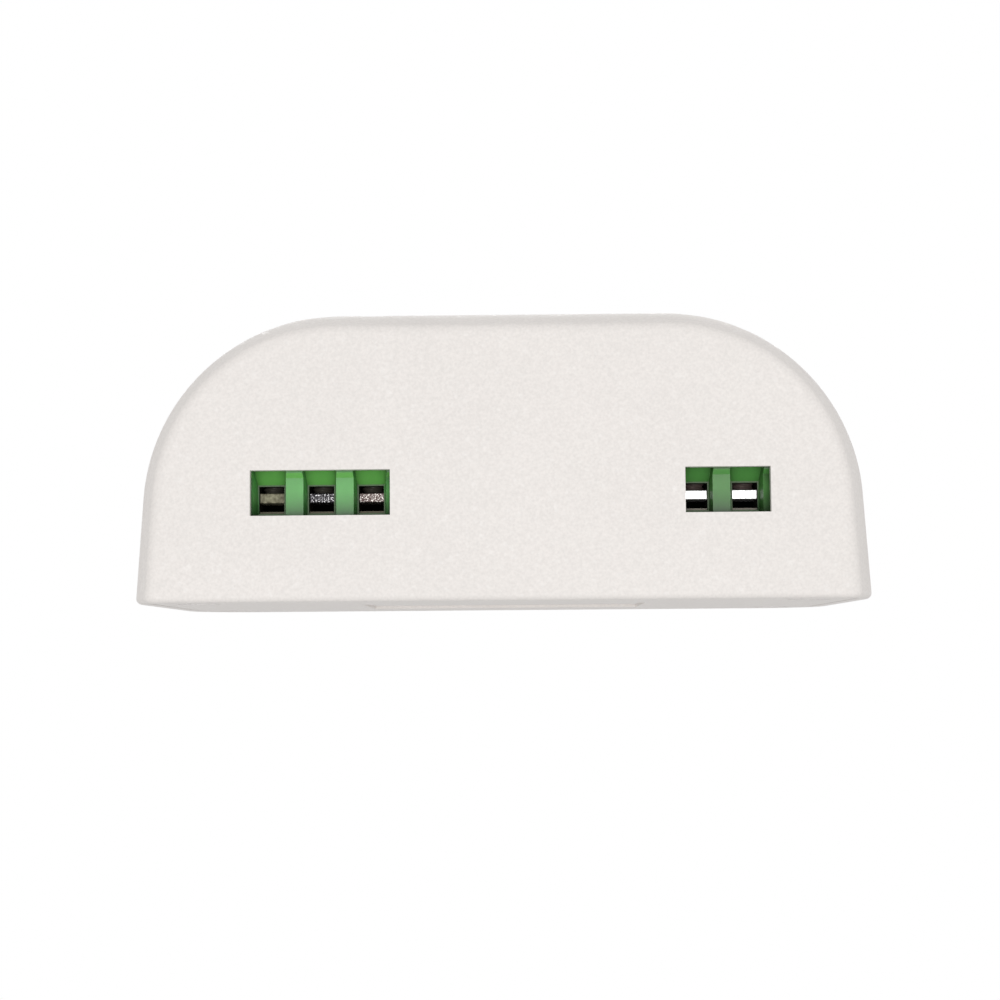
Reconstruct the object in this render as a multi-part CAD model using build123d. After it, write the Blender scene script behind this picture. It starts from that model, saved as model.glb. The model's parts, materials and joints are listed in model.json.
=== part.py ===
from build123d import *

import os
from math import cos, hypot, pi, radians, sin, sqrt, tan

# A smart relay module: a white case with a D-shaped front, a three-pole and a two-pole screw
# terminal block behind windows in that front, and a relay, a small power supply and a radio
# module on one circuit board inside it.
# Millimetres. +Z is up, the wire windows face -Y, and the origin is the centre of the underside.
# Angles are in degrees. "Left" and "right" are as seen from the front.

# Case: the driving sizes
case_width = 75.6  # across the feet of the two side walls
case_depth = 44.0
case_height = 29.8
side_draft = 3.8  # how far each side wall leans in
shoulder_radius = 20.3
flare = 2.15  # outline of the front face to the outline of the body
flare_depth = 4.4  # over which the body widens behind the front face
flare_radius = 12.0  # rounding where the flare runs into the body
face_radius = 1.3  # rounding of the outline of the front face
back_radius = 8.0  # rounding of the outline of the back
foot_radius = 0.6
wall = 2.0
boss_overlap = 0.4  # how far bosses and guides run into the wall
overrun = 1.0  # how far every cut runs past the face that it opens
seat_gap = 0.05  # between rigid pieces that are seated in one another

# Base plate and the screws that hold it
base_thickness = 2.0
base_gap = 0.15  # all round, between the plate and the walls
standoff_height = 3.8
standoff_radius = 2.5
support_thickness = 1.2  # the ribs under the front of the board
boss_radius = 2.75
boss_inset_x = 4.5  # boss centre to the side wall, at the foot
boss_inset_y = 4.2  # boss centre to the front or back wall
screw_tip_gap = 0.4  # screw tip to the end of its blind hole
screw_hole_gap = 0.15  # round a screw in a hole that it only passes through
case_screw_radius = 1.25
case_screw_length = 10.0
case_head_radius = 2.1
case_head_height = 1.2
case_head_recess = 0.2  # below the plate's face
cross_size = 1.6  # across the arms of a screw's cross recess
cross_arm = 0.5  # width of one arm
cross_depth = 0.9
label_length = 30.0
label_width = 18.0
label_depth = 0.3

# Circuit board
board_thickness = 1.6
board_side_gap = 1.0  # board edge to the side wall
board_end_gap = 0.4  # board edge to the front or back wall
board_notch_gap = 0.4  # round the case bosses
board_hole_gap = 0.15  # round anything that passes through the board
board_bottom = base_thickness + standoff_height
board_top = board_bottom + board_thickness
lead_radius = 0.35
lead_hole_radius = lead_radius + board_hole_gap
lead_tail = 2.2  # how far a lead stands out below the board
component_rise = 0.6  # seat of a leaded part above the board
seat_z = board_top + component_rise
solder_radius = 1.0
solder_height = 0.9
board_screw_radius = 1.0
board_screw_length = 5.0
board_head_radius = 2.0
board_head_height = 1.3

# Legs of the surface-mounted parts
leg_sheet = 0.25
leg_width = 0.5
leg_reach = 1.2
chip_standoff = 0.15  # body above the board


def block(x, y, z):
    """A box between the low and the high value given for each axis."""
    middle = Pos((x[0] + x[1]) / 2, (y[0] + y[1]) / 2, (z[0] + z[1]) / 2)
    return middle * Box(x[1] - x[0], y[1] - y[0], z[1] - z[0])


def span(middle, size):
    """The low and the high value of a size about its middle."""
    return (middle - size / 2, middle + size / 2)


def post(x, y, z, radius):
    """An upright cylinder between two heights."""
    return Pos(x, y, (z[0] + z[1]) / 2) * Cylinder(radius, z[1] - z[0])


def tube(x, y, z, outer, inner):
    """An upright tube between two heights."""
    return post(x, y, z, outer) - post(x, y, z, inner)


def rod_along_y(x, y, z, radius):
    """A level cylinder between two Y values."""
    return Pos(x, (y[0] + y[1]) / 2, z) * Rot(90, 0, 0) * Cylinder(radius, y[1] - y[0])


def cross_recess(x, y, z):
    """The tool for a cross-shaped driver recess whose lower end is at height z."""
    depth = (z, z + cross_depth)
    arm_x = block(span(x, cross_size), span(y, cross_arm), depth)
    arm_y = block(span(x, cross_arm), span(y, cross_size), depth)
    return arm_x + arm_y


def group(solids):
    """Identical pieces kept as separate solids of one node."""
    return Compound(children=list(solids))


# Where the inside of the case lies
inner_half_depth = case_depth / 2 - wall


def half_width(inset, z):
    """Half the width of the case outline, set in by inset, on its leaning side wall at height z."""
    return case_width / 2 - inset / cos(radians(side_draft)) - z * tan(radians(side_draft))


lean = radians(side_draft)
shoulder_z = case_height - shoulder_radius
shoulder_x = case_width / 2 - (shoulder_radius + shoulder_z * sin(lean)) / cos(lean)


def ceiling(x):
    """Height of the inside of the case over a place at x."""
    past_shoulder = max(0, abs(x) - shoulder_x)
    return shoulder_z + sqrt((shoulder_radius - wall) ** 2 - past_shoulder ** 2)


def case_solid(inset, drop, depth):
    """The D-shaped body, set in by inset and reaching drop below the foot."""
    radius = shoulder_radius - inset
    middle = (lean + pi / 2) / 2
    right = [
        (shoulder_x + radius * cos(angle), shoulder_z + radius * sin(angle))
        for angle in (lean, middle, pi / 2)
    ]
    left = [(-x, z) for x, z in right]
    foot = half_width(inset, -drop)
    outline = make_face([
        Line((-foot, -drop), (foot, -drop)),
        Line((foot, -drop), right[0]),
        ThreePointArc(*right),
        Line(right[2], left[2]),
        ThreePointArc(left[2], left[1], left[0]),
        Line(left[0], (-foot, -drop)),
    ])
    return extrude(Plane.XZ * outline, amount=depth / 2, both=True)


def rim_at(body, y):
    """The edges round the sides and the top of a D-shaped body that lie at one depth."""
    upper = body.edges().filter_by(lambda edge: edge.center().Z > foot_radius)
    return upper.filter_by_position(Axis.Y, y - seat_gap, y + seat_gap)


def case_body():
    """The outside of the case. Behind its flat front face it widens, and its back is rounded."""
    front_y = -case_depth / 2
    body = case_solid(0, 0, case_depth)
    body = fillet(rim_at(body, case_depth / 2), back_radius)
    front = body.faces().sort_by(Axis.Y)[0]
    body = chamfer(rim_at(body, front_y), flare, flare_depth, reference=front)
    body = fillet(rim_at(body, front_y + flare_depth), flare_radius)
    body = fillet(rim_at(body, front_y), face_radius)
    foot = body.edges().group_by(Axis.Z)[0].filter_by(lambda edge: edge.center().Y > front_y + seat_gap)
    return fillet(foot, foot_radius)


def case_inside(inset, drop):
    """The inside of the case, set in by inset and reaching drop below the foot."""
    body = case_solid(inset, drop, case_depth - 2 * inset)
    return fillet(rim_at(body, case_depth / 2 - inset), back_radius - inset)


# Terminal blocks. A pole is one wire entry with its clamp.
pole_pitch = 5.08
block_depth = 8.0
block_height = 10.0
rib_width = 1.64  # between two wire entries
pocket_depth = 1.0  # how far the block's front sinks into the wall of the case
pocket_gap = 0.2  # all round the part of the block that sinks into it
hood_reach = 0.45  # how far the hood over the wire entries stands out from the ribs
hood_bottom = 5.15  # where the hood's slanted underside starts, above the board
hood_rise = 0.5  # height of that slant
hood_height = 6.9  # where the hood's upright front ends and the slope starts, above the board
hood_setback = 2.0  # how far the slope runs back
shelf_height = 9.4  # where the slope ends, above the board
funnel_depth = 2.3  # from the front of the hood back to the wire hole
entry_width = 2.85  # funnel's inner end
entry_bottom = 1.54  # above the board
entry_height = 3.06
mouth_drop = 0.6  # how far the funnel widens downwards at its mouth
mouth_rise = 2.5  # how far it widens upwards there
ledge = 0.15  # step round the wire hole at the funnel's inner end
front_skin = 0.5

# Wire clamp: a bent metal frame with its pin, a folded leaf and a screw
frame_width = 3.3
frame_sheet = 0.3
frame_floor = 0.4
frame_depth = 4.2
frame_collar = 1.2  # the thick top that holds the thread
frame_clearance = 0.07
floor_height = 1.91  # top of the frame's floor above the board
frame_opening = 3.5  # floor to collar
pin_width = 0.9
pin_thickness = 0.7
leaf_width = 2.5
leaf_sheet = 0.28
leaf_height = 1.0  # across the fold
leaf_nose_radius = 0.12  # rounding at the top and the foot of the fold's flat nose
leaf_lift = 0.9  # gap between the floor and the leaf, as the photograph shows it
leaf_setback = 0.1
leaf_short_leg = 0.9  # how much shorter the lower leg is
thread_radius = 1.2
thread_clearance = 0.05
tip_gap = 0.02
screw_length = 4.1
screw_head_radius = 1.9
screw_head_height = 1.5
slot_width = 0.5
slot_depth = 0.8
well_clearance = 0.15

output_poles = 3
input_poles = 2
output_block_inset = 19.4  # block centre to the foot of the case's left wall
input_block_inset = 15.67  # block centre to the foot of the case's right wall
output_block_x = output_block_inset - case_width / 2
input_block_x = case_width / 2 - input_block_inset
block_front_y = pocket_gap - pocket_depth - inner_half_depth
entry_y = block_front_y + funnel_depth
block_back_y = block_front_y + block_depth
frame_front_y = entry_y + front_skin + frame_clearance
frame_back_y = frame_front_y + frame_depth
screw_y = (frame_front_y + frame_back_y) / 2
block_top = board_top + block_height
floor_top = board_top + floor_height
collar_bottom = floor_top + frame_opening
collar_top = collar_bottom + frame_collar
leaf_bottom = floor_top + leaf_lift
leaf_top = leaf_bottom + leaf_height
tip_z = leaf_top + tip_gap
head_bottom = tip_z + screw_length
head_top = head_bottom + screw_head_height

# Windows in the front wall, over the wire entries
window_rise = 1.25  # above the board
window_height = 4.58
output_window_trim = 1.18  # how much narrower the window is than its block
output_window_shift = 0.17  # from the block's centre
input_window_trim = 1.62
input_window_shift = 0.52
output_window_width = output_poles * pole_pitch - output_window_trim
input_window_width = input_poles * pole_pitch - input_window_trim

# Driver holes over the terminal screws
driver_gap = 0.2  # round a screw's head
guide_wall = 0.8
driver_radius = screw_head_radius + driver_gap
guide_radius = driver_radius + guide_wall
guide_gap = 0.6  # between the guide and the block

# Push button and the switch under it
button_x = 0.0
button_y = 0.0
button_radius = 4.6
button_gap = 0.2
button_proud = 0.4
button_crown = 2.0  # thickness of the cap's top
button_skirt = 1.0
button_lip = 0.6
button_lip_height = 0.8
button_lip_gap = 0.3
button_travel = 0.3
button_stem_radius = 1.5
button_guide_wall = 1.2
button_guide_depth = 6.2
dish_radius = 7.5
dish_depth = 0.4
switch_size = 6.0
switch_height = 3.4
switch_sheet = 0.25
switch_leg_width = 0.7
switch_leg_thickness = 0.3
plunger_radius = 1.7
plunger_height = 1.5  # above the switch
plunger_seat = 1.2  # below the switch's top

# Status light
light_x = 0.0
light_inset = 9.0  # behind the inside of the case front
light_y = light_inset - inner_half_depth
pipe_radius = 1.5
pipe_collar_radius = 1.9
pipe_collar_height = 0.8
pipe_gap = 0.4  # between the light pipe and the light
pipe_guide_radius = 3.0
pipe_guide_depth = 5.0
light_length = 2.0
light_width = 1.25
light_height = 0.8

boss_x = half_width(wall, 0) - boss_inset_x
boss_y = inner_half_depth - boss_inset_y
boss_places = [(x, y) for x in (-boss_x, boss_x) for y in (-boss_y, boss_y)]
board_half_length = half_width(wall, board_top) - board_side_gap
board_half_depth = inner_half_depth - board_end_gap


def pole_places(block_x, poles):
    """The X of each pole of a terminal block."""
    return [block_x + (i - (poles - 1) / 2) * pole_pitch for i in range(poles)]


output_pole_x = pole_places(output_block_x, output_poles)
input_pole_x = pole_places(input_block_x, input_poles)
all_pole_x = output_pole_x + input_pole_x


def window(block_x, width, shift):
    """The tool that cuts a wire window through the front wall."""
    z = (board_top + window_rise, board_top + window_rise + window_height)
    y = (-case_depth / 2 - overrun, -inner_half_depth + overrun)
    return block(span(block_x + shift, width), y, z)


def pocket(block_x, poles):
    """The tool that sinks the front of a terminal block into the inside of the front wall."""
    z = (board_top - pocket_gap, board_top + shelf_height)
    y = (-inner_half_depth - pocket_depth, -inner_half_depth + overrun)
    return block(span(block_x, poles * pole_pitch + 2 * pocket_gap), y, z)


def top_cover():
    """The white shell: D-shaped, open below, with bosses, driver guides and the button guide."""
    shell = case_body() - case_inside(wall, overrun)

    added = [post(x, y, (base_thickness, case_height), boss_radius) for x, y in boss_places]
    guide_z = (block_top + guide_gap, case_height)
    added += [post(x, screw_y, guide_z, guide_radius) for x in all_pole_x]
    button_bore = button_radius + button_gap
    button_z = (case_height - wall - button_guide_depth, case_height)
    added.append(post(button_x, button_y, button_z, button_bore + button_guide_wall))
    pipe_z = (case_height - wall - pipe_guide_depth, case_height)
    added.append(post(light_x, light_y, pipe_z, pipe_guide_radius))
    inside = case_inside(wall - boss_overlap, 0)
    for solid in added:
        shell += solid & inside

    through = (board_top, case_height + overrun)
    shell -= post(button_x, button_y, through, button_bore)
    dish_z = (case_height - dish_depth, case_height + overrun)
    shell -= post(button_x, button_y, dish_z, dish_radius)
    shell -= post(light_x, light_y, through, pipe_radius + seat_gap)
    collar_z = (pipe_z[0] - overrun, pipe_z[0] + pipe_collar_height)
    shell -= post(light_x, light_y, collar_z, pipe_collar_radius + seat_gap)
    for x in all_pole_x:
        shell -= post(x, screw_y, through, driver_radius)
    pilot_z = (base_thickness - overrun, case_head_recess + case_screw_length + screw_tip_gap)
    for x, y in boss_places:
        shell -= post(x, y, pilot_z, case_screw_radius + seat_gap)
    shell -= window(output_block_x, output_window_width, output_window_shift)
    shell -= window(input_block_x, input_window_width, input_window_shift)
    shell -= pocket(output_block_x, output_poles)
    shell -= pocket(input_block_x, input_poles)
    return shell


# Places on the board. Those on the left follow the output block, those on the right the input one.
board_screw_inset = 3.2  # side board screws to the board's edge
side_screw_back_inset = 11.6
front_screw_x = 0.0
front_screw_inset = 4.1  # front board screw to the board's edge
side_screw_y = board_half_depth - side_screw_back_inset
side_screw_x = board_half_length - board_screw_inset
board_screw_places = [
    (-side_screw_x, side_screw_y),
    (side_screw_x, side_screw_y),
    (front_screw_x, front_screw_inset - board_half_depth),
]


def base_plate():
    """The flat underside: screws to the cover's bosses and carries the board on three standoffs."""
    half_x = half_width(wall, base_thickness) - base_gap
    half_y = inner_half_depth - base_gap
    plate = block((-half_x, half_x), (-half_y, half_y), (0, base_thickness))
    back_corners = plate.edges().filter_by(Axis.Z).group_by(Axis.Y)[-1]
    plate = fillet(back_corners, back_radius - wall - base_gap)
    for x, y in board_screw_places:
        plate += post(x, y, (0, board_bottom), standoff_radius)
    rib_y = (-board_half_depth, support_thickness - board_half_depth)
    for block_x, poles in ((output_block_x, output_poles), (input_block_x, input_poles)):
        plate += block(span(block_x, poles * pole_pitch), rib_y, (0, board_bottom))

    for x, y in board_screw_places:
        pilot = (base_thickness, board_bottom + overrun)
        plate -= post(x, y, pilot, board_screw_radius + seat_gap)
    head_z = (case_head_recess, case_head_recess + case_head_height)
    for x, y in boss_places:
        plate -= post(x, y, (-overrun, base_thickness + overrun), case_screw_radius + screw_hole_gap)
        plate -= post(x, y, (-overrun, head_z[0]), case_head_radius + seat_gap)
        sink = Cone(case_head_radius + seat_gap, case_screw_radius + seat_gap, case_head_height)
        plate -= Pos(x, y, (head_z[0] + head_z[1]) / 2) * sink
    plate -= block(span(0, label_length), span(0, label_width), (-overrun, label_depth))
    return plate


def case_screws():
    """Four countersunk screws from below into the cover's bosses."""
    solids = []
    head_z = (case_head_recess, case_head_recess + case_head_height)
    for x, y in boss_places:
        head = Cone(case_head_radius, case_screw_radius, case_head_height)
        screw = Pos(x, y, (head_z[0] + head_z[1]) / 2) * head
        screw += post(x, y, (head_z[0], head_z[0] + case_screw_length), case_screw_radius)
        solids.append(screw - cross_recess(x, y, head_z[0]))
    return group(solids)


def board_screws():
    """Three pan-head screws that hold the board down on its standoffs."""
    solids = []
    for x, y in board_screw_places:
        head_z = (board_top, board_top + board_head_height)
        screw = post(x, y, head_z, board_head_radius)
        screw += post(x, y, (head_z[1] - board_screw_length, head_z[1]), board_screw_radius)
        solids.append(screw - cross_recess(x, y, head_z[1] - cross_depth))
    return group(solids)


def button_cap():
    """The white cap: a crown with a skirt that hooks under its guide, and a stem to the switch."""
    crown_z = (case_height + button_proud - button_crown, case_height + button_proud)
    lip_top = case_height - wall - button_guide_depth - button_lip_gap
    lip_bottom = lip_top - button_lip_height
    cap = post(button_x, button_y, crown_z, button_radius)
    cap = fillet(cap.edges().group_by(Axis.Z)[-1], button_proud / 2)
    skirt_z = (lip_bottom, crown_z[0])
    cap += tube(button_x, button_y, skirt_z, button_radius, button_radius - button_skirt)
    lip_z = (lip_bottom, lip_top)
    lip_radius = button_radius + button_lip
    cap += tube(button_x, button_y, lip_z, lip_radius, button_radius - button_skirt)
    plunger_top = board_top + switch_height + plunger_height
    cap += post(button_x, button_y, (plunger_top, crown_z[0]), button_stem_radius)
    return cap


def light_pipe():
    """The clear rod that carries the status light up to the top."""
    low = board_top + light_height + pipe_gap
    guide_low = case_height - wall - pipe_guide_depth
    rod = post(light_x, light_y, (low, case_height), pipe_radius)
    collar_z = (guide_low, guide_low + pipe_collar_height)
    return rod + post(light_x, light_y, collar_z, pipe_collar_radius)


def terminal_housing(block_x, poles):
    """The green block: a funnel, a clamp chamber and a screw well for each pole."""
    rib_y = block_front_y + hood_reach
    side = [
        (rib_y, board_top),
        (rib_y, board_top + hood_bottom),
        (block_front_y, board_top + hood_bottom + hood_rise),
        (block_front_y, board_top + hood_height),
        (block_front_y + hood_setback, board_top + shelf_height),
        (block_front_y + hood_setback, block_top),
        (block_back_y, block_top),
        (block_back_y, board_top),
    ]
    profile = Plane.YZ * make_face(Polyline(*side, close=True))
    housing = Pos(block_x, 0, 0) * extrude(profile, amount=poles * pole_pitch / 2, both=True)
    chamber_width = pole_pitch - rib_width
    chamber_y = (entry_y + front_skin, frame_back_y + frame_clearance)
    chamber_z = (board_top - overrun, collar_top + frame_clearance)
    entry_z = (board_top + entry_bottom, board_top + entry_bottom + entry_height)
    mouth_z = (entry_z[0] - mouth_drop, entry_z[1] + mouth_rise)
    hole_z = (entry_z[0] + ledge, entry_z[1] - ledge)
    hole_y = (entry_y - overrun, chamber_y[0] + overrun)
    well_z = (collar_top, block_top + overrun)
    for x in pole_places(block_x, poles):
        housing -= block(span(x, chamber_width), chamber_y, chamber_z)
        housing -= block(span(x, entry_width - 2 * ledge), hole_y, hole_z)
        housing -= post(x, screw_y, well_z, screw_head_radius + well_clearance)
        inner = Plane((x, entry_y, (entry_z[0] + entry_z[1]) / 2), (1, 0, 0), (0, -1, 0))
        outer = Plane((x, block_front_y, (mouth_z[0] + mouth_z[1]) / 2), (1, 0, 0), (0, -1, 0))
        funnel = loft([
            inner * Rectangle(entry_width, entry_height),
            outer * Rectangle(chamber_width, mouth_z[1] - mouth_z[0]),
        ])
        housing -= funnel
    return housing


def clamp_frame(x):
    """The bent frame of one clamp, its threaded collar and its solder pin."""
    frame_y = (frame_front_y, frame_back_y)
    frame = block(span(x, frame_width), frame_y, (floor_top - frame_floor, collar_top))
    opening_y = (frame_front_y - overrun, frame_back_y + overrun)
    opening_width = frame_width - 2 * frame_sheet
    frame -= block(span(x, opening_width), opening_y, (floor_top, collar_bottom))
    thread_z = (collar_bottom - overrun, collar_top + overrun)
    frame -= post(x, screw_y, thread_z, thread_radius + thread_clearance)
    pin_z = (board_bottom - lead_tail, floor_top - frame_floor / 2)
    return frame + block(span(x, pin_width), span(screw_y, pin_thickness), pin_z)


def clamp_leaf(x):
    """The folded leaf that the screw presses on the wire. Its flat nose faces the wire entry."""
    nose_y = frame_front_y + leaf_setback
    back_y = frame_back_y - leaf_setback
    leaf = block(span(x, leaf_width), (nose_y, back_y), (leaf_bottom, leaf_top))
    leaf = fillet(leaf.edges().filter_by(Axis.X).group_by(Axis.Y)[0], leaf_nose_radius)
    past = span(x, leaf_width + overrun)
    inner_z = (leaf_bottom + leaf_sheet, leaf_top - leaf_sheet)
    leaf -= block(past, (nose_y + leaf_sheet, back_y + overrun), inner_z)
    short_y = (back_y - leaf_short_leg, back_y + overrun)
    return leaf - block(past, short_y, (leaf_bottom - overrun, inner_z[1]))


def clamp_screw(x):
    """The slotted screw of one clamp."""
    screw = post(x, screw_y, (tip_z, head_top), thread_radius)
    screw += post(x, screw_y, (head_bottom, head_top), screw_head_radius)
    slot_x = span(x, 2 * screw_head_radius + overrun)
    slot_z = (head_top - slot_depth, head_top + overrun)
    return screw - block(slot_x, span(screw_y, slot_width), slot_z)


# Relay: an upright coil with a hinged armature over it, in a plastic box
relay_length = 19.2
relay_width = 15.4
relay_headroom = 2.1  # relay's outer edge to the ceiling
relay_wall = 0.8
relay_shift_x = 1.2  # from the output block's centre
relay_back_gap = 1.1  # behind the output block
relay_base_rise = 0.4
relay_base_thickness = 1.5
relay_x = output_block_x + relay_shift_x
relay_y = block_back_y + relay_back_gap + relay_width / 2
relay_height = ceiling(relay_x - relay_length / 2) - relay_headroom - board_top
relay_base_top = board_top + relay_base_rise + relay_base_thickness
yoke_sheet = 0.9
yoke_width = 7.0
yoke_inset = 1.6  # back of the yoke to the relay's inner right wall
coil_shift = 1.4  # coil axis to the relay's centre
core_radius = 1.75
pole_radius = 2.8
pole_height = 0.8
bobbin_radius = 4.8
hub_radius = 2.5
flange_thickness = 0.8
winding_radius = 4.5
armature_gap = 0.35
armature_thickness = 0.8
armature_free = 3.2  # how far it reaches past the coil axis
spring_sheet = 0.2
spring_width = 4.0
rivet_radius = 1.3
rivet_height = 0.5
rivet_inset = 2.6  # contact centre to the relay's inner left wall
contact_gap = 0.5
rest_gap = 0.05
blade_sheet = 0.4
blade_headroom = 0.9  # upper blade to the inside of the relay's box
blade_leg_width = 2.2
blade_inset = 0.35  # blade legs to the relay's inner left wall
blade_shift = 3.4  # leg centre off the relay's middle line
coil_pin_shift_x = 4.4
coil_pin_shift_y = 5.9

relay_inner_left = relay_x - relay_length / 2 + relay_wall
relay_inner_right = relay_x + relay_length / 2 - relay_wall
coil_x = relay_x + coil_shift
yoke_back = relay_inner_right - yoke_inset
yoke_bottom = relay_base_top + seat_gap
bobbin_bottom = yoke_bottom + yoke_sheet + seat_gap
blade_top = board_top + relay_height - relay_wall - blade_headroom
contact_stack = blade_sheet + 2 * rivet_height + rest_gap + spring_sheet
bobbin_top = (
    blade_top - contact_stack - armature_thickness - armature_gap - pole_height - 2 * seat_gap
)
pole_bottom = bobbin_top + seat_gap
pole_top = pole_bottom + pole_height
armature_bottom = pole_top + armature_gap
armature_top = armature_bottom + armature_thickness
spring_z = (armature_top + seat_gap, armature_top + seat_gap + spring_sheet)
rivet_x = relay_inner_left + rivet_inset
rivet_z = (spring_z[0] - rivet_height, spring_z[1] + rivet_height)
yoke_top = armature_bottom - rest_gap
blade_x = relay_inner_left + blade_inset
blade_leg_x = (blade_x, blade_x + blade_sheet)
rest_leg_y = relay_y + blade_shift
work_leg_y = relay_y - blade_shift
relay_leads = [
    (coil_x + coil_pin_shift_x, relay_y - coil_pin_shift_y),
    (coil_x + coil_pin_shift_x, relay_y + coil_pin_shift_y),
]
flat_pins = [
    (blade_x + blade_sheet / 2, rest_leg_y, blade_sheet),
    (blade_x + blade_sheet / 2, work_leg_y, blade_sheet),
    (yoke_back - yoke_sheet / 2, relay_y, yoke_sheet),
]


def flat_pin_tool(z, gap):
    """The tool that clears the relay's three flat pins between two heights."""
    slots = [
        block(span(x, sheet + 2 * gap), span(y, blade_leg_width + 2 * gap), z)
        for x, y, sheet in flat_pins
    ]
    return slots[0] + slots[1] + slots[2]


def relay_case():
    """The relay's box, open below."""
    x = span(relay_x, relay_length)
    y = span(relay_y, relay_width)
    box = block(x, y, (board_top, board_top + relay_height))
    inner_x = (relay_inner_left, relay_inner_right)
    inner_y = (y[0] + relay_wall, y[1] - relay_wall)
    inner_z = (board_top - overrun, board_top + relay_height - relay_wall)
    upright = box.edges().filter_by(Axis.Z)
    return fillet(upright, relay_wall / 2) - block(inner_x, inner_y, inner_z)


def relay_base():
    """The plate that closes the relay's box and holds its pins."""
    x = (relay_inner_left + seat_gap, relay_inner_right - seat_gap)
    y = span(relay_y, relay_width - 2 * relay_wall - 2 * seat_gap)
    plate = block(x, y, (board_top + relay_base_rise, relay_base_top))
    hole_z = (board_top, relay_base_top + overrun)
    for x, y in relay_leads:
        plate -= post(x, y, hole_z, lead_radius + seat_gap)
    return plate - flat_pin_tool(hole_z, seat_gap)


def relay_yoke():
    """The L-shaped iron that closes the magnetic path, with the common pin."""
    y = span(relay_y, yoke_width)
    foot_x = (coil_x - pole_radius, yoke_back)
    yoke = block(foot_x, y, (yoke_bottom, yoke_bottom + yoke_sheet))
    yoke += block((yoke_back - yoke_sheet, yoke_back), y, (yoke_bottom, yoke_top))
    pin_z = (board_bottom - lead_tail, yoke_bottom + yoke_sheet)
    yoke += block((yoke_back - yoke_sheet, yoke_back), span(relay_y, blade_leg_width), pin_z)
    through = (yoke_bottom - overrun, yoke_bottom + yoke_sheet + overrun)
    return yoke - post(coil_x, relay_y, through, core_radius + seat_gap)


def relay_core():
    """The iron core with its pole face."""
    core = post(coil_x, relay_y, (yoke_bottom, pole_top), core_radius)
    return core + post(coil_x, relay_y, (pole_bottom, pole_top), pole_radius)


def relay_bobbin():
    """The plastic spool on the core."""
    spool = post(coil_x, relay_y, (bobbin_bottom, bobbin_top), hub_radius)
    low = (bobbin_bottom, bobbin_bottom + flange_thickness)
    high = (bobbin_top - flange_thickness, bobbin_top)
    for z in (low, high):
        spool += post(coil_x, relay_y, z, bobbin_radius)
    bore = (bobbin_bottom - overrun, bobbin_top + overrun)
    return spool - post(coil_x, relay_y, bore, core_radius + seat_gap)


def relay_winding():
    """The wire on the spool."""
    low = bobbin_bottom + flange_thickness + seat_gap
    high = bobbin_top - flange_thickness - seat_gap
    return tube(coil_x, relay_y, (low, high), winding_radius, hub_radius + seat_gap)


def relay_armature():
    """The iron plate that the core pulls down. It rocks on the yoke's top edge."""
    x = (coil_x - armature_free, yoke_back)
    return block(x, span(relay_y, yoke_width), (armature_bottom, armature_top))


def relay_contact_spring():
    """The copper spring on the armature, with the moving contact at its end."""
    x = (rivet_x - rivet_radius, yoke_back - yoke_sheet)
    spring = block(x, span(relay_y, spring_width), spring_z)
    return spring + post(rivet_x, relay_y, rivet_z, rivet_radius)


def fixed_contact(leg_y, rivet, blade):
    """A fixed contact: its rivet, its blade and the leg that goes down through the board."""
    inner_y = relay_y + (rivet_radius if leg_y < relay_y else -rivet_radius)
    outer_y = leg_y + (blade_leg_width / 2 if leg_y > relay_y else -blade_leg_width / 2)
    blade_y = (min(inner_y, outer_y), max(inner_y, outer_y))
    contact = block((blade_leg_x[0], rivet_x + rivet_radius), blade_y, blade)
    leg_z = (board_bottom - lead_tail, blade[1])
    contact += block(blade_leg_x, span(leg_y, blade_leg_width), leg_z)
    return contact + post(rivet_x, relay_y, rivet, rivet_radius)


def relay_rest_contact():
    """The contact that the spring touches while the coil is off."""
    low = rivet_z[1] + rest_gap
    blade = (low + rivet_height, low + rivet_height + blade_sheet)
    return fixed_contact(rest_leg_y, (low, blade[0]), blade)


def relay_work_contact():
    """The contact that closes when the coil pulls."""
    high = rivet_z[0] - contact_gap
    blade = (high - rivet_height - blade_sheet, high - rivet_height)
    return fixed_contact(work_leg_y, (blade[1], high), blade)


def relay_coil_pins():
    """The two pins that feed the coil."""
    z = (board_bottom - lead_tail, bobbin_bottom)
    return group(post(x, y, z, lead_radius) for x, y in relay_leads)


# Power supply, behind the input block
fuse_radius = 4.1
fuse_headroom = 2.0  # fuse's outer side to the ceiling
fuse_shift_x = 6.0  # from the input block's centre
fuse_gap = 1.8  # behind the input block
fuse_pitch = 5.08
fuse_rim = 0.5
varistor_radius = 3.8
varistor_thickness = 3.4
varistor_shift_x = -3.5
varistor_gap = 2.2
varistor_pitch = 5.0
choke_flange_radius = 3.2
choke_hub_radius = 1.6
choke_winding_radius = 2.8
choke_height = 7.0
choke_flange = 1.0
choke_shift_x = -3.4
choke_gap = 10.2
choke_pitch = 4.0
bulk_radius = 5.0
bulk_headroom = 1.4
bulk_shift_x = -1.2
bulk_back_gap = 1.6  # to the board's back edge
bulk_pitch = 5.0
can_groove = 0.35
can_groove_height = 1.4
transformer_length = 13.0
transformer_width = 12.4
transformer_x = 8.0
transformer_back_gap = 1.8
core_thickness = 5.6
core_bar = 2.2
core_arm = 1.9
centre_arm = 3.4
former_sheet = 0.7
former_height = 10.4
winding_margin = 0.4  # winding to the rim of the former
transformer_pin_pitch = 3.2
chip_length = 9.2
chip_width = 6.2
chip_height = 3.2
chip_x = 9.6
chip_gap = 2.4  # in front of the transformer; a row of capacitors lies in it
bridge_length = 4.7
bridge_width = 6.6
bridge_height = 2.6
bridge_gap = 0.7  # in front of the converter chip
chip_legs = 4  # along each side
bridge_legs = 2
regulator_legs = 3
output_can_radius = 3.1
output_can_height = 7.2
output_can_x = -3.6
output_can_back_gap = 1.0
output_can_pitch = 2.5
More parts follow.
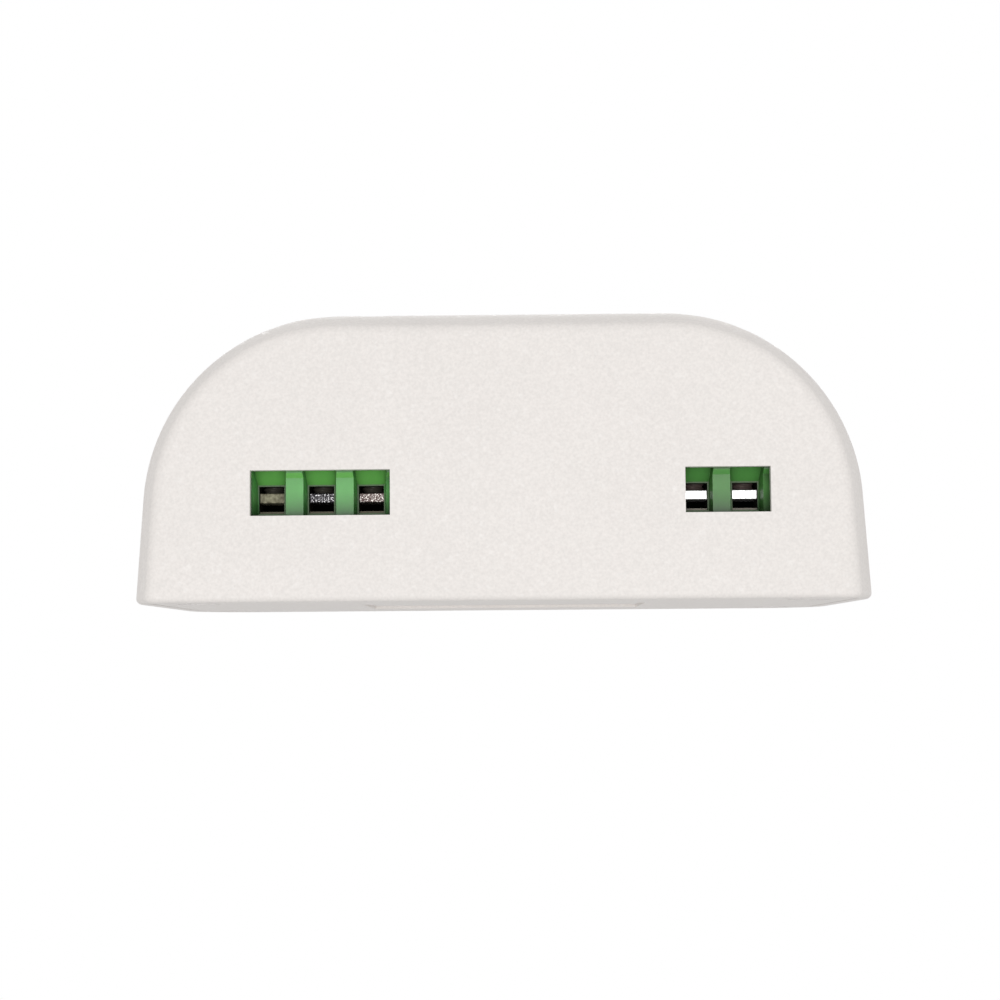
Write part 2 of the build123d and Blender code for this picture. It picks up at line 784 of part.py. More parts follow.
diode_length = 4.4
diode_width = 2.4
diode_height = 2.1
diode_gap = 0.1  # in front of the output capacitor
regulator_length = 4.6
regulator_width = 3.4
regulator_height = 1.6
regulator_tab = 1.4
regulator_x = -4.4
regulator_gap = 8.4  # in front of the button's centre

fuse_place = (input_block_x + fuse_shift_x, block_back_y + fuse_gap + fuse_radius)
varistor_place = (
    input_block_x + varistor_shift_x,
    block_back_y + varistor_gap + varistor_thickness / 2,
)
choke_place = (input_block_x + choke_shift_x, block_back_y + choke_gap)
bulk_place = (input_block_x + bulk_shift_x, board_half_depth - bulk_back_gap - bulk_radius)
fuse_height = ceiling(fuse_place[0] + fuse_radius) - fuse_headroom - seat_z
bulk_height = ceiling(bulk_place[0] + bulk_radius) - bulk_headroom - seat_z
transformer_y = board_half_depth - transformer_back_gap - transformer_width / 2
transformer_front_y = transformer_y - transformer_width / 2
chip_y = transformer_front_y - chip_gap - chip_width / 2
capacitor_y = transformer_front_y - chip_gap / 2
bridge_y = chip_y - chip_width / 2 - bridge_gap - bridge_length / 2
output_can_y = board_half_depth - output_can_back_gap - output_can_radius
output_can_place = (output_can_x, output_can_y)
output_diode_y = output_can_y - output_can_radius - diode_gap - diode_width / 2
regulator_y = button_y - regulator_gap


def pair_along_x(place, pitch):
    """Two lead places, side by side."""
    return [(place[0] + side * pitch / 2, place[1]) for side in (-1, 1)]


transformer_row = transformer_length - core_bar
transformer_leads = [
    (transformer_x + side * transformer_row / 2, transformer_y + i * transformer_pin_pitch)
    for side in (-1, 1)
    for i in (-1, 0, 1)
]
component_places = (
    pair_along_x(fuse_place, fuse_pitch)
    + pair_along_x(varistor_place, varistor_pitch)
    + pair_along_x(choke_place, choke_pitch)
    + pair_along_x(bulk_place, bulk_pitch)
    + pair_along_x(output_can_place, output_can_pitch)
    + transformer_leads
)


def mains_fuse():
    """The round, upright fuse."""
    body = post(*fuse_place, (seat_z, seat_z + fuse_height), fuse_radius)
    return fillet(body.edges().group_by(Axis.Z)[-1], fuse_rim)


def surge_varistor():
    """The disc that clips mains surges, standing on edge."""
    x, y = varistor_place
    disc = rod_along_y(x, span(y, varistor_thickness), seat_z + varistor_radius, varistor_radius)
    foot = span(x, varistor_pitch + 2 * lead_radius)
    disc += block(foot, span(y, varistor_thickness / 2), (seat_z, seat_z + varistor_radius))
    return disc


def choke_core():
    """The ferrite drum of the input choke."""
    x, y = choke_place
    top = seat_z + choke_height
    drum = post(x, y, (seat_z, top), choke_hub_radius)
    drum += post(x, y, (seat_z, seat_z + choke_flange), choke_flange_radius)
    return drum + post(x, y, (top - choke_flange, top), choke_flange_radius)


def choke_winding():
    """The wire on the choke's drum."""
    x, y = choke_place
    low = seat_z + choke_flange + seat_gap
    high = seat_z + choke_height - choke_flange - seat_gap
    return tube(x, y, (low, high), choke_winding_radius, choke_hub_radius + seat_gap)


def legged_chip(place, length, width, height, legs, turn=0):
    """A flat chip with gull-wing legs along its two long sides. The width is over the legs."""
    chip = block(span(0, length), span(0, width - leg_reach), (chip_standoff, height))
    for side in (-1, 1):
        leg_y = span(side * (width - leg_reach) / 2, leg_reach)
        for i in range(legs):
            leg_x = span((i - (legs - 1) / 2) * length / legs, leg_width)
            chip += block(leg_x, leg_y, (0, chip_standoff + leg_sheet))
    return Pos(*place, board_top) * Rot(0, 0, turn) * chip


def rolled_can(place, radius, height):
    """An upright electrolytic capacitor: a sleeved can with the rolled groove near its foot."""
    x, y = place
    can = post(x, y, (seat_z, seat_z + height), radius)
    can = fillet(can.edges().group_by(Axis.Z)[-1], can_groove)
    groove_z = span(seat_z + can_groove_height, can_groove)
    return can - tube(x, y, groove_z, radius + overrun, radius - can_groove)


former_z = (seat_z, seat_z + former_height)
core_z = span(seat_z + former_height / 2, core_thickness)
former_window = transformer_length - 2 * core_bar - 2 * seat_gap
former_width = transformer_width - 2 * core_arm - 2 * seat_gap
former_bore = (centre_arm + 2 * seat_gap, core_thickness + 2 * seat_gap)
former_hub = (former_bore[0] + 2 * former_sheet, former_bore[1] + 2 * former_sheet)


def transformer_core():
    """Two E-shaped ferrites that slide into the former from its two ends and meet inside it."""
    halves = []
    for side in (-1, 1):
        back = transformer_x + side * transformer_length / 2
        front = transformer_x + side * seat_gap / 2
        x = (min(back, front), max(back, front))
        bar_end = back - side * core_bar
        bar_x = (min(back, bar_end), max(back, bar_end))
        half = block(bar_x, span(transformer_y, transformer_width), core_z)
        half += block(x, span(transformer_y, centre_arm), core_z)
        for arm in (-1, 1):
            arm_y = transformer_y + arm * (transformer_width - core_arm) / 2
            half += block(x, span(arm_y, core_arm), core_z)
        halves.append(half)
    return group(halves)


def transformer_bobbin():
    """The former round the middle arms, with the two feet that the core and the pins sit on."""
    middle = (core_z[0] + core_z[1]) / 2
    x = span(transformer_x, former_window)
    former = block(x, span(transformer_y, former_hub[0]), span(middle, former_hub[1]))
    for side in (-1, 1):
        flange_x = transformer_x + side * (former_window - former_sheet) / 2
        former += block(span(flange_x, former_sheet), span(transformer_y, former_width), former_z)
        inner = transformer_x + side * (former_window / 2 - former_sheet)
        outer = transformer_x + side * transformer_length / 2
        foot_x = (min(inner, outer), max(inner, outer))
        foot_z = (seat_z, core_z[0] - seat_gap)
        former += block(foot_x, span(transformer_y, transformer_width), foot_z)
    past = (x[0] - overrun, x[1] + overrun)
    bore = block(past, span(transformer_y, former_bore[0]), span(middle, former_bore[1]))
    return former - bore


def transformer_winding():
    """The taped coil on the former."""
    middle = (core_z[0] + core_z[1]) / 2
    x = span(transformer_x, former_window - 2 * former_sheet - 2 * seat_gap)
    y = span(transformer_y, former_width - 2 * winding_margin)
    z = span(middle, former_height - 2 * winding_margin)
    coil = fillet(block(x, y, z).edges().filter_by(Axis.X), former_sheet)
    hub_y = span(transformer_y, former_hub[0] + 2 * seat_gap)
    hub_z = span(middle, former_hub[1] + 2 * seat_gap)
    return coil - block((x[0] - overrun, x[1] + overrun), hub_y, hub_z)


def bridge_rectifier():
    """The flat bridge with its four legs, turned so that they point left and right."""
    return legged_chip((chip_x, bridge_y), bridge_length, bridge_width, bridge_height, bridge_legs, 90)


def converter_chip():
    """The power supply's controller."""
    return legged_chip((chip_x, chip_y), chip_length, chip_width, chip_height, chip_legs)


def voltage_regulator():
    """The regulator with its wide cooling tab."""
    place = (regulator_x, regulator_y)
    body = legged_chip(place, regulator_length, regulator_width, regulator_height, regulator_legs)
    tab_x = span(regulator_x, regulator_length / 2)
    tab_y = (regulator_y, regulator_y + regulator_width / 2 + regulator_tab)
    return body + block(tab_x, tab_y, (board_top, board_top + chip_standoff + leg_sheet))


# Radio module, behind the relay
radio_length = 18.0
radio_thickness = 0.8
radio_front_gap = 1.6  # to the relay
radio_back_gap = 0.6  # to the board's back edge
radio_shift_x = 0.9  # from the output block's centre
pad_pitch = 1.9
shield_length = 10.8
shield_height = 2.0
shield_sheet = 0.25
shield_inset = 0.9  # to the free short edge
shield_side_inset = 1.6  # to the long edges
aerial_sheet = 0.1
aerial_track = 0.7
aerial_turns = 6
aerial_reach = 4.2
aerial_margin = 2.55  # outer tracks to the long edges
radio_x = output_block_x + radio_shift_x
radio_front_y = relay_y + relay_width / 2 + radio_front_gap
radio_back_y = board_half_depth - radio_back_gap
radio_width = radio_back_y - radio_front_y
radio_y = (radio_front_y + radio_back_y) / 2
radio_top = board_top + radio_thickness
aerial_pitch = (radio_width - 2 * aerial_margin) / (aerial_turns - 1)


def radio_board():
    """The radio module's own small board, with half-round solder pads along both long edges."""
    board = block(span(radio_x, radio_length), span(radio_y, radio_width), (board_top, radio_top))
    through = (board_top - overrun, radio_top + overrun)
    for i in range(int(shield_length / pad_pitch)):
        x = radio_x + radio_length / 2 - shield_inset - (i + 1 / 2) * pad_pitch
        for side in (-1, 1):
            board -= post(x, radio_y + side * radio_width / 2, through, lead_radius)
    return board


def radio_shield():
    """The tin lid over the radio's chips."""
    right = radio_x + radio_length / 2 - shield_inset
    x = (right - shield_length, right)
    y = span(radio_y, radio_width - 2 * shield_side_inset)
    lid = block(x, y, (radio_top, radio_top + shield_height))
    lid = fillet(lid.edges().group_by(Axis.Z)[-1], shield_sheet)
    inner = [(low + shield_sheet, high - shield_sheet) for low, high in (x, y)]
    return lid - block(*inner, (radio_top - overrun, radio_top + shield_height - shield_sheet))


def radio_aerial():
    """The zigzag printed aerial on the free end of the radio's board."""
    left = radio_x - radio_length / 2 + aerial_track
    z = (radio_top, radio_top + aerial_sheet)
    low = radio_y - (aerial_turns - 1) * aerial_pitch / 2
    track = None
    for i in range(aerial_turns):
        y = low + i * aerial_pitch
        bar = block((left, left + aerial_reach), span(y, aerial_track), z)
        track = bar if track is None else track + bar
        if i + 1 < aerial_turns:
            end = left + aerial_track / 2 if i % 2 else left + aerial_reach - aerial_track / 2
            track += block(span(end, aerial_track), (y, y + aerial_pitch), z)
    return track


# Switch, driver and the small parts
chip_part_length = 1.6
chip_part_width = 0.8
chip_part_height = 0.5
resistor_x = -5.6
resistor_pitch = 2.3
resistor_count = 5
capacitor_pitch = 2.6
capacitor_count = 4
driver_length = 2.9
driver_width = 2.5
driver_height = 1.1
driver_legs = 2
driver_inset = 3.0  # from the board's left edge
driver_y = -6.0
clamp_diode_y = 0.0
header_x = 8.2
header_gap = 0.7  # in front of the bridge
header_pitch = 2.54
header_pins = 4
header_width = 2.5
header_height = 2.5
header_pin_size = 0.6
header_pin_height = 6.0
driver_x = driver_inset - board_half_length
header_y = bridge_y - bridge_length / 2 - header_gap - header_width / 2
header_pin_x = [header_x + (i - (header_pins - 1) / 2) * header_pitch for i in range(header_pins)]
switch_leg_places = [
    (button_x + side * (switch_size + switch_leg_thickness) / 2, button_y + end * switch_size / 3)
    for side in (-1, 1)
    for end in (-1, 1)
]


def switch_body():
    """The push switch's base, hollow under its plunger, with four legs through the board."""
    top = board_top + switch_height - switch_sheet - seat_gap
    body = block(span(button_x, switch_size), span(button_y, switch_size), (board_top, top))
    well_z = (top - plunger_seat - button_travel - seat_gap, top + overrun)
    body -= post(button_x, button_y, well_z, plunger_radius + button_gap)
    for x, y in switch_leg_places:
        leg_z = (board_bottom - lead_tail, top - switch_height / 2)
        body += block(span(x, switch_leg_thickness), span(y, switch_leg_width), leg_z)
    return body


def switch_lid():
    """The switch's metal lid, with the hole for the plunger."""
    z = (board_top + switch_height - switch_sheet, board_top + switch_height)
    lid = block(span(button_x, switch_size), span(button_y, switch_size), z)
    hole_z = (z[0] - overrun, z[1] + overrun)
    return lid - post(button_x, button_y, hole_z, plunger_radius + button_gap)


def switch_plunger():
    """The plunger that the button's stem stands on."""
    top = board_top + switch_height + plunger_height
    low = board_top + switch_height - switch_sheet - seat_gap - plunger_seat
    return post(button_x, button_y, (low, top), plunger_radius)


def status_light():
    """The small light on the board."""
    z = (board_top, board_top + light_height)
    return block(span(light_x, light_length), span(light_y, light_width), z)


def relay_driver():
    """The transistor that feeds the relay's coil."""
    place = (driver_x, driver_y)
    return legged_chip(place, driver_length, driver_width, driver_height, driver_legs)


def flat_diode(x, y, turned):
    """A flat diode with a wide leg at each end, along X or, turned, along Y."""
    body_z = (chip_standoff, diode_height)
    body = block(span(0, diode_length), span(0, diode_width), body_z)
    for side in (-1, 1):
        leg_x = span(side * diode_length / 2, leg_reach)
        body += block(leg_x, span(0, diode_width / 2), (0, chip_standoff + leg_sheet))
    return Pos(x, y, board_top) * Rot(0, 0, 90 if turned else 0) * body


def chip_part(x, y):
    """One small surface-mounted part."""
    z = (board_top, board_top + chip_part_height)
    return block(span(x, chip_part_length), span(y, chip_part_width), z)


def chip_resistors():
    """The column of resistors between the relay and the switch."""
    middle = (resistor_count - 1) / 2
    places = [button_y + (i - middle) * resistor_pitch for i in range(resistor_count)]
    return group(chip_part(resistor_x, y) for y in places)


def chip_capacitors():
    """The row of capacitors between the converter chip and the transformer."""
    middle = (capacitor_count - 1) / 2
    places = [chip_x + (i - middle) * capacitor_pitch for i in range(capacitor_count)]
    return group(chip_part(x, capacitor_y) for x in places)


def header_body():
    """The plastic strip of the programming header."""
    z = (board_top, board_top + header_height)
    strip = block(span(header_x, header_pins * header_pitch), span(header_y, header_width), z)
    through = (z[0] - overrun, z[1] + overrun)
    pin_hole = header_pin_size + 2 * seat_gap
    for x in header_pin_x:
        strip -= block(span(x, pin_hole), span(header_y, pin_hole), through)
    return strip


def header_pin_row():
    """The square pins of the programming header."""
    z = (board_bottom - lead_tail, board_top + header_height + header_pin_height)
    y = span(header_y, header_pin_size)
    return group(block(span(x, header_pin_size), y, z) for x in header_pin_x)


round_leads = relay_leads + component_places


def circuit_board():
    """The main board, notched round the case's bosses and drilled for every lead and pin."""
    x = (-board_half_length, board_half_length)
    y = (-board_half_depth, board_half_depth)
    board = block(x, y, (board_bottom, board_top))
    through = (board_bottom - overrun, board_top + overrun)
    reach = boss_radius + board_notch_gap
    for x, y in boss_places:
        notch_x = (x - reach, x + reach + overrun) if x > 0 else (x - reach - overrun, x + reach)
        notch_y = (y - reach, y + reach + overrun) if y > 0 else (y - reach - overrun, y + reach)
        board -= block(notch_x, notch_y, through)
    drilled = [(x, y, board_screw_radius) for x, y in board_screw_places]
    drilled += [(x, y, lead_radius) for x, y in round_leads]
    drilled += [(x, screw_y, hypot(pin_width, pin_thickness) / 2) for x in all_pole_x]
    drilled += [(x, header_y, hypot(header_pin_size, header_pin_size) / 2) for x in header_pin_x]
    leg_radius = hypot(switch_leg_width, switch_leg_thickness) / 2
    drilled += [(x, y, leg_radius) for x, y in switch_leg_places]
    for x, y, radius in drilled:
        board -= post(x, y, through, radius + board_hole_gap)
    return board - flat_pin_tool(through, board_hole_gap)


def component_leads():
    """The tinned legs of the fuse, varistor, choke, capacitors and transformer."""
    z = (board_bottom - lead_tail, seat_z)
    return group(post(x, y, z, lead_radius) for x, y in component_places)


def solder_joints():
    """The cone of solder round each round lead, under the board."""
    cones = []
    for x, y in round_leads:
        cone = Cone(lead_hole_radius, solder_radius, solder_height)
        joint = Pos(x, y, board_bottom - solder_height / 2) * cone
        bore = (board_bottom - solder_height - overrun, board_bottom + overrun)
        cones.append(joint - post(x, y, bore, lead_radius + seat_gap / 2))
    return group(cones)


nodes = {
    "top_cover": top_cover(),
    "base_plate": base_plate(),
    "case_screws": case_screws(),
    "button_cap": button_cap(),
    "light_pipe": light_pipe(),
    "circuit_board": circuit_board(),
    "board_screws": board_screws(),
    "component_leads": component_leads(),
    "solder_joints": solder_joints(),
    "output_terminal_housing": terminal_housing(output_block_x, output_poles),
    "input_terminal_housing": terminal_housing(input_block_x, input_poles),
    "output_clamp_frames": group(clamp_frame(x) for x in output_pole_x),
    "input_clamp_frames": group(clamp_frame(x) for x in input_pole_x),
    "relay_case": relay_case(),
    "relay_base": relay_base(),
    "relay_yoke": relay_yoke(),
    "relay_core": relay_core(),
    "relay_bobbin": relay_bobbin(),
    "relay_winding": relay_winding(),
    "relay_armature": relay_armature(),
    "relay_contact_spring": relay_contact_spring(),
    "relay_rest_contact": relay_rest_contact(),
    "relay_work_contact": relay_work_contact(),
    "relay_coil_pins": relay_coil_pins(),
    "mains_fuse": mains_fuse(),
    "surge_varistor": surge_varistor(),
    "choke_core": choke_core(),
    "choke_winding": choke_winding(),
    "bridge_rectifier": bridge_rectifier(),
    "bulk_capacitor": rolled_can(bulk_place, bulk_radius, bulk_height),
    "transformer_core": transformer_core(),
    "transformer_bobbin": transformer_bobbin(),
    "transformer_winding": transformer_winding(),
    "converter_chip": converter_chip(),
    "output_diode": flat_diode(output_can_x, output_diode_y, False),
    "output_capacitor": rolled_can(output_can_place, output_can_radius, output_can_height),
    "voltage_regulator": voltage_regulator(),
    "radio_board": radio_board(),
    "radio_shield": radio_shield(),
    "radio_aerial": radio_aerial(),
    "switch_body": switch_body(),
    "switch_lid": switch_lid(),
    "switch_plunger": switch_plunger(),
    "status_light": status_light(),
    "relay_driver": relay_driver(),
    "clamp_diode": flat_diode(driver_x, clamp_diode_y, True),
    "chip_resistors": chip_resistors(),
    "chip_capacitors": chip_capacitors(),
    "header_body": header_body(),
    "header_pins": header_pin_row(),
}
for side, places in (("output", output_pole_x), ("input", input_pole_x)):
    for number, x in enumerate(places, start=1):
        nodes[f"{side}_leaf_{number}"] = clamp_leaf(x)
        nodes[f"{side}_screw_{number}"] = clamp_screw(x)

os.makedirs("parts", exist_ok=True)
for name, shape in nodes.items():
    export_step(shape, f"parts/{name}.step")
print(len(nodes), "nodes")
print("terminal screws at x", [round(x, 2) for x in all_pole_x], "y", round(screw_y, 2))
print("leaf travel down", leaf_lift, "and up", round(collar_bottom - leaf_top, 2))
print("armature pivot at x", round(yoke_back - yoke_sheet, 2), "z", round(yoke_top, 2))
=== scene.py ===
# %% [markdown]
# # Dressing a smart relay module
# The real object is a small white plastic case with a relay, a power supply and a radio inside.
# Two windows in its front show green screw terminals, where the wires go in. The solid pieces are
# already modelled at their real size, so this lesson doesn't model the case again. It opens the
# measured pieces, gives each one the finish that it has on the bench, and rebuilds the few whose
# plain solids are too plain, such as the terminal screws and the wound coils.

# %% Open the measured pieces
import json
from math import cos, pi, radians, sin

import bmesh
import bpy
from mathutils import Matrix, Vector


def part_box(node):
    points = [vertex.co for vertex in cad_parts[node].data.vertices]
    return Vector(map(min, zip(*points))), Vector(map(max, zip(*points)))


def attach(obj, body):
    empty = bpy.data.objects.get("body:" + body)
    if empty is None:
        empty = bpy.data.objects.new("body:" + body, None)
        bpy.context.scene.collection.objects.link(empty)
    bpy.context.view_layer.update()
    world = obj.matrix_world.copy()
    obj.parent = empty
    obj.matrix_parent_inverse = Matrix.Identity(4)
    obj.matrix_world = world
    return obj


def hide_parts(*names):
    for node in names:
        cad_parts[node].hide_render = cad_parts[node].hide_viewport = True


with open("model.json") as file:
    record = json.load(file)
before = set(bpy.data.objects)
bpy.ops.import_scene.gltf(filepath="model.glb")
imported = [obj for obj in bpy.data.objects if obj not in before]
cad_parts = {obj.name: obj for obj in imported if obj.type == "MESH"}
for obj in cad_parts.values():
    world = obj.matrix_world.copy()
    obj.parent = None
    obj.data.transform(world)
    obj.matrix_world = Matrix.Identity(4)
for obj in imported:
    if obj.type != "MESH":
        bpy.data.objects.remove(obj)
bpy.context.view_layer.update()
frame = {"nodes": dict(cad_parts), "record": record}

nodes = frame["nodes"]
MM = 0.001

# %% [markdown]
# ## Building materials from small pieces
# A shader is a graph, and long graphs are hard to read, so helpers keep every step to one line.
# `put` adds a node and fills or links its inputs by name, and `new_group` starts a node group with
# named sockets. An effect that several materials share is such a group. It is built once, and each
# material then sets its own values on it, as a painter uses one brush with many paints.

# %% Helpers for nodes and groups


def put(tree, kind, inputs=None, **options):
    """Add one shader node with its options, then set or link the inputs that are named."""
    node = tree.nodes.new("ShaderNode" + kind)
    for name, value in options.items():
        setattr(node, name, value)
    for name, value in (inputs or {}).items():
        if isinstance(value, bpy.types.NodeSocket):
            tree.links.new(value, node.inputs[name])
        else:
            node.inputs[name].default_value = value
    return node


def new_group(name, inputs, outputs):
    """A node group with its named sockets, and the two nodes at its ends."""
    group = bpy.data.node_groups.new(name, "ShaderNodeTree")
    kinds = {"value": "NodeSocketFloat", "color": "NodeSocketColor", "vector": "NodeSocketVector"}
    for label, kind, value in inputs:
        socket = group.interface.new_socket(label, in_out="INPUT", socket_type=kinds[kind])
        socket.default_value = value
    for label, kind in outputs:
        group.interface.new_socket(label, in_out="OUTPUT", socket_type=kinds[kind])
    start = group.nodes.new("NodeGroupInput").outputs
    end = group.nodes.new("NodeGroupOutput").inputs
    return group, start, end


def use_group(tree, group, **inputs):
    """Place a group in a material. Input names are written with _ for a space."""
    node = tree.nodes.new("ShaderNodeGroup")
    node.node_tree = group
    for name, value in inputs.items():
        socket = node.inputs[name.replace("_", " ")]
        if isinstance(value, bpy.types.NodeSocket):
            tree.links.new(value, socket)
        else:
            socket.default_value = value
    return node.outputs


print("node helpers ready")

# %% [markdown]
# Most steps inside a graph are small sums: a product, a mixture of two colours, or a ramp that turns
# one range of numbers into another. Each gets a helper that hands back the result's socket, so that
# steps can be written inside one another like a formula.

# %% Sums, mixtures and ramps


def calc(tree, operation, *values):
    """One Math node. Each value is a number or another node's output."""
    node = put(tree, "Math", operation=operation)
    for socket, value in zip(node.inputs, values):
        if isinstance(value, bpy.types.NodeSocket):
            tree.links.new(value, socket)
        else:
            socket.default_value = value
    return node.outputs[0]


def mix_colors(tree, share, first, second):
    """Mix two colours by a share from 0 to 1.

    A Mix node has sockets for numbers, vectors and colours that share their names, so the ones for
    colours are picked by their place in the list.
    """
    return put(tree, "Mix", {0: share, 6: first, 7: second}, data_type="RGBA").outputs[2]


def ramp(tree, value, low, high, first=0.0, last=1.0):
    """The first number where the value is low, the last where it is high, evenly changing between."""
    inputs = {"Value": value, "From Min": low, "From Max": high, "To Min": first, "To Max": last}
    return put(tree, "MapRange", inputs).outputs[0]


print("sum helpers ready")

# %% [markdown]
# A pattern has to know where on the piece it is. Object coordinates move with the piece, so the
# pattern stays in place when a joint turns. The last helper turns a colour as a paint chart gives it
# into the linear values that a shader works with.

# %% Places, directions and colours


def place_in_piece(tree):
    """A point of the piece in metres. It stays on the piece when the piece moves."""
    return put(tree, "TexCoord").outputs["Object"]


def facing_up(tree):
    """1 on faces that look up, 0 on upright faces and -1 on faces that look down."""
    return put(tree, "SeparateXYZ", {"Vector": put(tree, "TexCoord").outputs["Normal"]}).outputs["Z"]


def sampled(red, green, blue):
    """A colour given as the eye reads it, 0 to 255, in the linear values that shaders need."""
    linear = []
    for value in (red, green, blue):
        share = value / 255
        linear.append(share / 12.92 if share <= 0.04045 else ((share + 0.055) / 1.055) ** 2.4)
    return (*linear, 1)


print("a mid grey is", round(sampled(128, 128, 128)[0], 3), "to a shader")

# %% [markdown]
# ## Four shared effects
# Moulded plastic isn't smooth. The steel mould is spark-eroded, which leaves a fine satin grain, and
# the grain catches the light as tiny glints. Everything also carries a little dust. Edges that hands
# or tools touch are rubbed. Each effect gives a mask or a height, and the material decides what to do
# with it. Noise is measured in metres here, so `Size` is the real size of one grain.

# %% The grain of a surface
grain, start, end = new_group(
    "Grain",
    [("Place", "vector", (0, 0, 0)), ("Size", "value", 0.2 * MM), ("Detail", "value", 2.0)],
    [("Height", "value"), ("Glints", "value")],
)
frequency = calc(grain, "DIVIDE", 1.0, start["Size"])
fine = put(grain, "TexNoise", {"Vector": start["Place"], "Scale": frequency, "Detail": start["Detail"]})
cells = put(grain, "TexVoronoi", {"Vector": start["Place"], "Scale": frequency})
chosen = put(grain, "SeparateColor", {"Color": cells.outputs["Color"]}).outputs["Red"]
grain.links.new(fine.outputs["Fac"], end["Height"])
grain.links.new(ramp(grain, chosen, 0.9, 1.0), end["Glints"])
print(grain.name, "gives", [socket.name for socket in end if socket.name])

# %% [markdown]
# For dust, a cell pattern has one point in each cell. Only cells whose random number is low enough
# keep their point, so the dots are rare, and a second random number gives each a size of its own.

# %% Dust and small marks
dust, start, end = new_group(
    "Dust",
    [
        ("Place", "vector", (0, 0, 0)), ("Spacing", "value", 4 * MM), ("Dot size", "value", 0.1 * MM),
        ("Amount", "value", 0.2),
    ],
    [("Mask", "value")],
)
frequency = calc(dust, "DIVIDE", 1.0, start["Spacing"])
cells = put(dust, "TexVoronoi", {"Vector": start["Place"], "Scale": frequency})
luck = put(dust, "SeparateColor", {"Color": cells.outputs["Color"]}).outputs
reach = calc(dust, "MULTIPLY", calc(dust, "MULTIPLY", start["Dot size"], frequency), luck["Green"])
near = calc(dust, "LESS_THAN", cells.outputs["Distance"], reach)
rare = calc(dust, "LESS_THAN", luck["Red"], start["Amount"])
dust.links.new(calc(dust, "MULTIPLY", near, rare), end["Mask"])
print(dust.name, "gives", [socket.name for socket in end if socket.name])

# %% [markdown]
# No surface has one even colour. Slow noise makes the colour a little lighter here and darker there.

# %% Slow changes of tone
tone, start, end = new_group(
    "Tone",
    [
        ("Place", "vector", (0, 0, 0)), ("Size", "value", 10 * MM), ("Color", "color", (1, 1, 1, 1)),
        ("Change", "value", 0.05),
    ],
    [("Color", "color"), ("Mask", "value")],
)
frequency = calc(tone, "DIVIDE", 1.0, start["Size"])
clouds = put(tone, "TexNoise", {"Vector": start["Place"], "Scale": frequency, "Detail": 3.0})
swing = calc(tone, "MULTIPLY", calc(tone, "SUBTRACT", clouds.outputs["Fac"], 0.5), start["Change"])
bright = calc(tone, "ADD", 1.0, swing)
scaled = put(tone, "VectorMath", {0: start["Color"], "Scale": bright}, operation="SCALE")
tone.links.new(scaled.outputs[0], end["Color"])
tone.links.new(clouds.outputs["Fac"], end["Mask"])
print(tone.name, "gives", [socket.name for socket in end if socket.name])

# %% [markdown]
# A Bevel node gives the normal that a rounded edge would have. Where it differs from the true normal,
# there is an edge, and noise breaks the line up, because wear is never even.

# %% Rubbed edges
rubbed, start, end = new_group(
    "Rubbed edges",
    [("Place", "vector", (0, 0, 0)), ("Width", "value", 0.2 * MM), ("Breaks", "value", 1 * MM)],
    [("Mask", "value")],
)
rounded = put(rubbed, "Bevel", {"Radius": start["Width"]}, samples=4).outputs[0]
surface = put(rubbed, "NewGeometry").outputs["Normal"]
agree = put(rubbed, "VectorMath", {0: rounded, 1: surface}, operation="DOT_PRODUCT").outputs["Value"]
edge = ramp(rubbed, agree, 0.99, 0.8)
frequency = calc(rubbed, "DIVIDE", 1.0, start["Breaks"])
patches = put(rubbed, "TexNoise", {"Vector": start["Place"], "Scale": frequency}).outputs["Fac"]
uneven = ramp(rubbed, patches, 0.4, 0.6)
rubbed.links.new(calc(rubbed, "MULTIPLY", edge, uneven), end["Mask"])
print(rubbed.name, "gives", [socket.name for socket in end if socket.name])

# %% [markdown]
# ## A start for every material
# Every finish here is the same shader with other values, so a helper makes the material, hands back
# its graph and the shader, and the finish then adds what is special to it. A number that is the same
# all over the piece is written straight into the shader's own socket. Nearly every finish ends with a
# bump, which makes a flat face catch the light as if it were grained.

# %% Start a material


def new_material(name, **sockets):
    """A material with its shader's sockets set. Names are written with _ for a space."""
    material = bpy.data.materials.new(name)
    material.use_nodes = True
    tree = material.node_tree
    shader = tree.nodes["Principled BSDF"]
    for socket, value in sockets.items():
        shader.inputs[socket.replace("_", " ")].default_value = value
    return material, tree, shader


def bump(tree, shader, height, depth, rounding=0.0):
    """Raise the surface by height times depth, in metres. rounding softens the edges."""
    node = put(tree, "Bump", {"Height": height, "Distance": depth})
    if rounding:
        tree.links.new(put(tree, "Bevel", {"Radius": rounding}, samples=4).outputs[0], node.inputs["Normal"])
    tree.links.new(node.outputs[0], shader.inputs["Normal"])


print("material helpers ready")
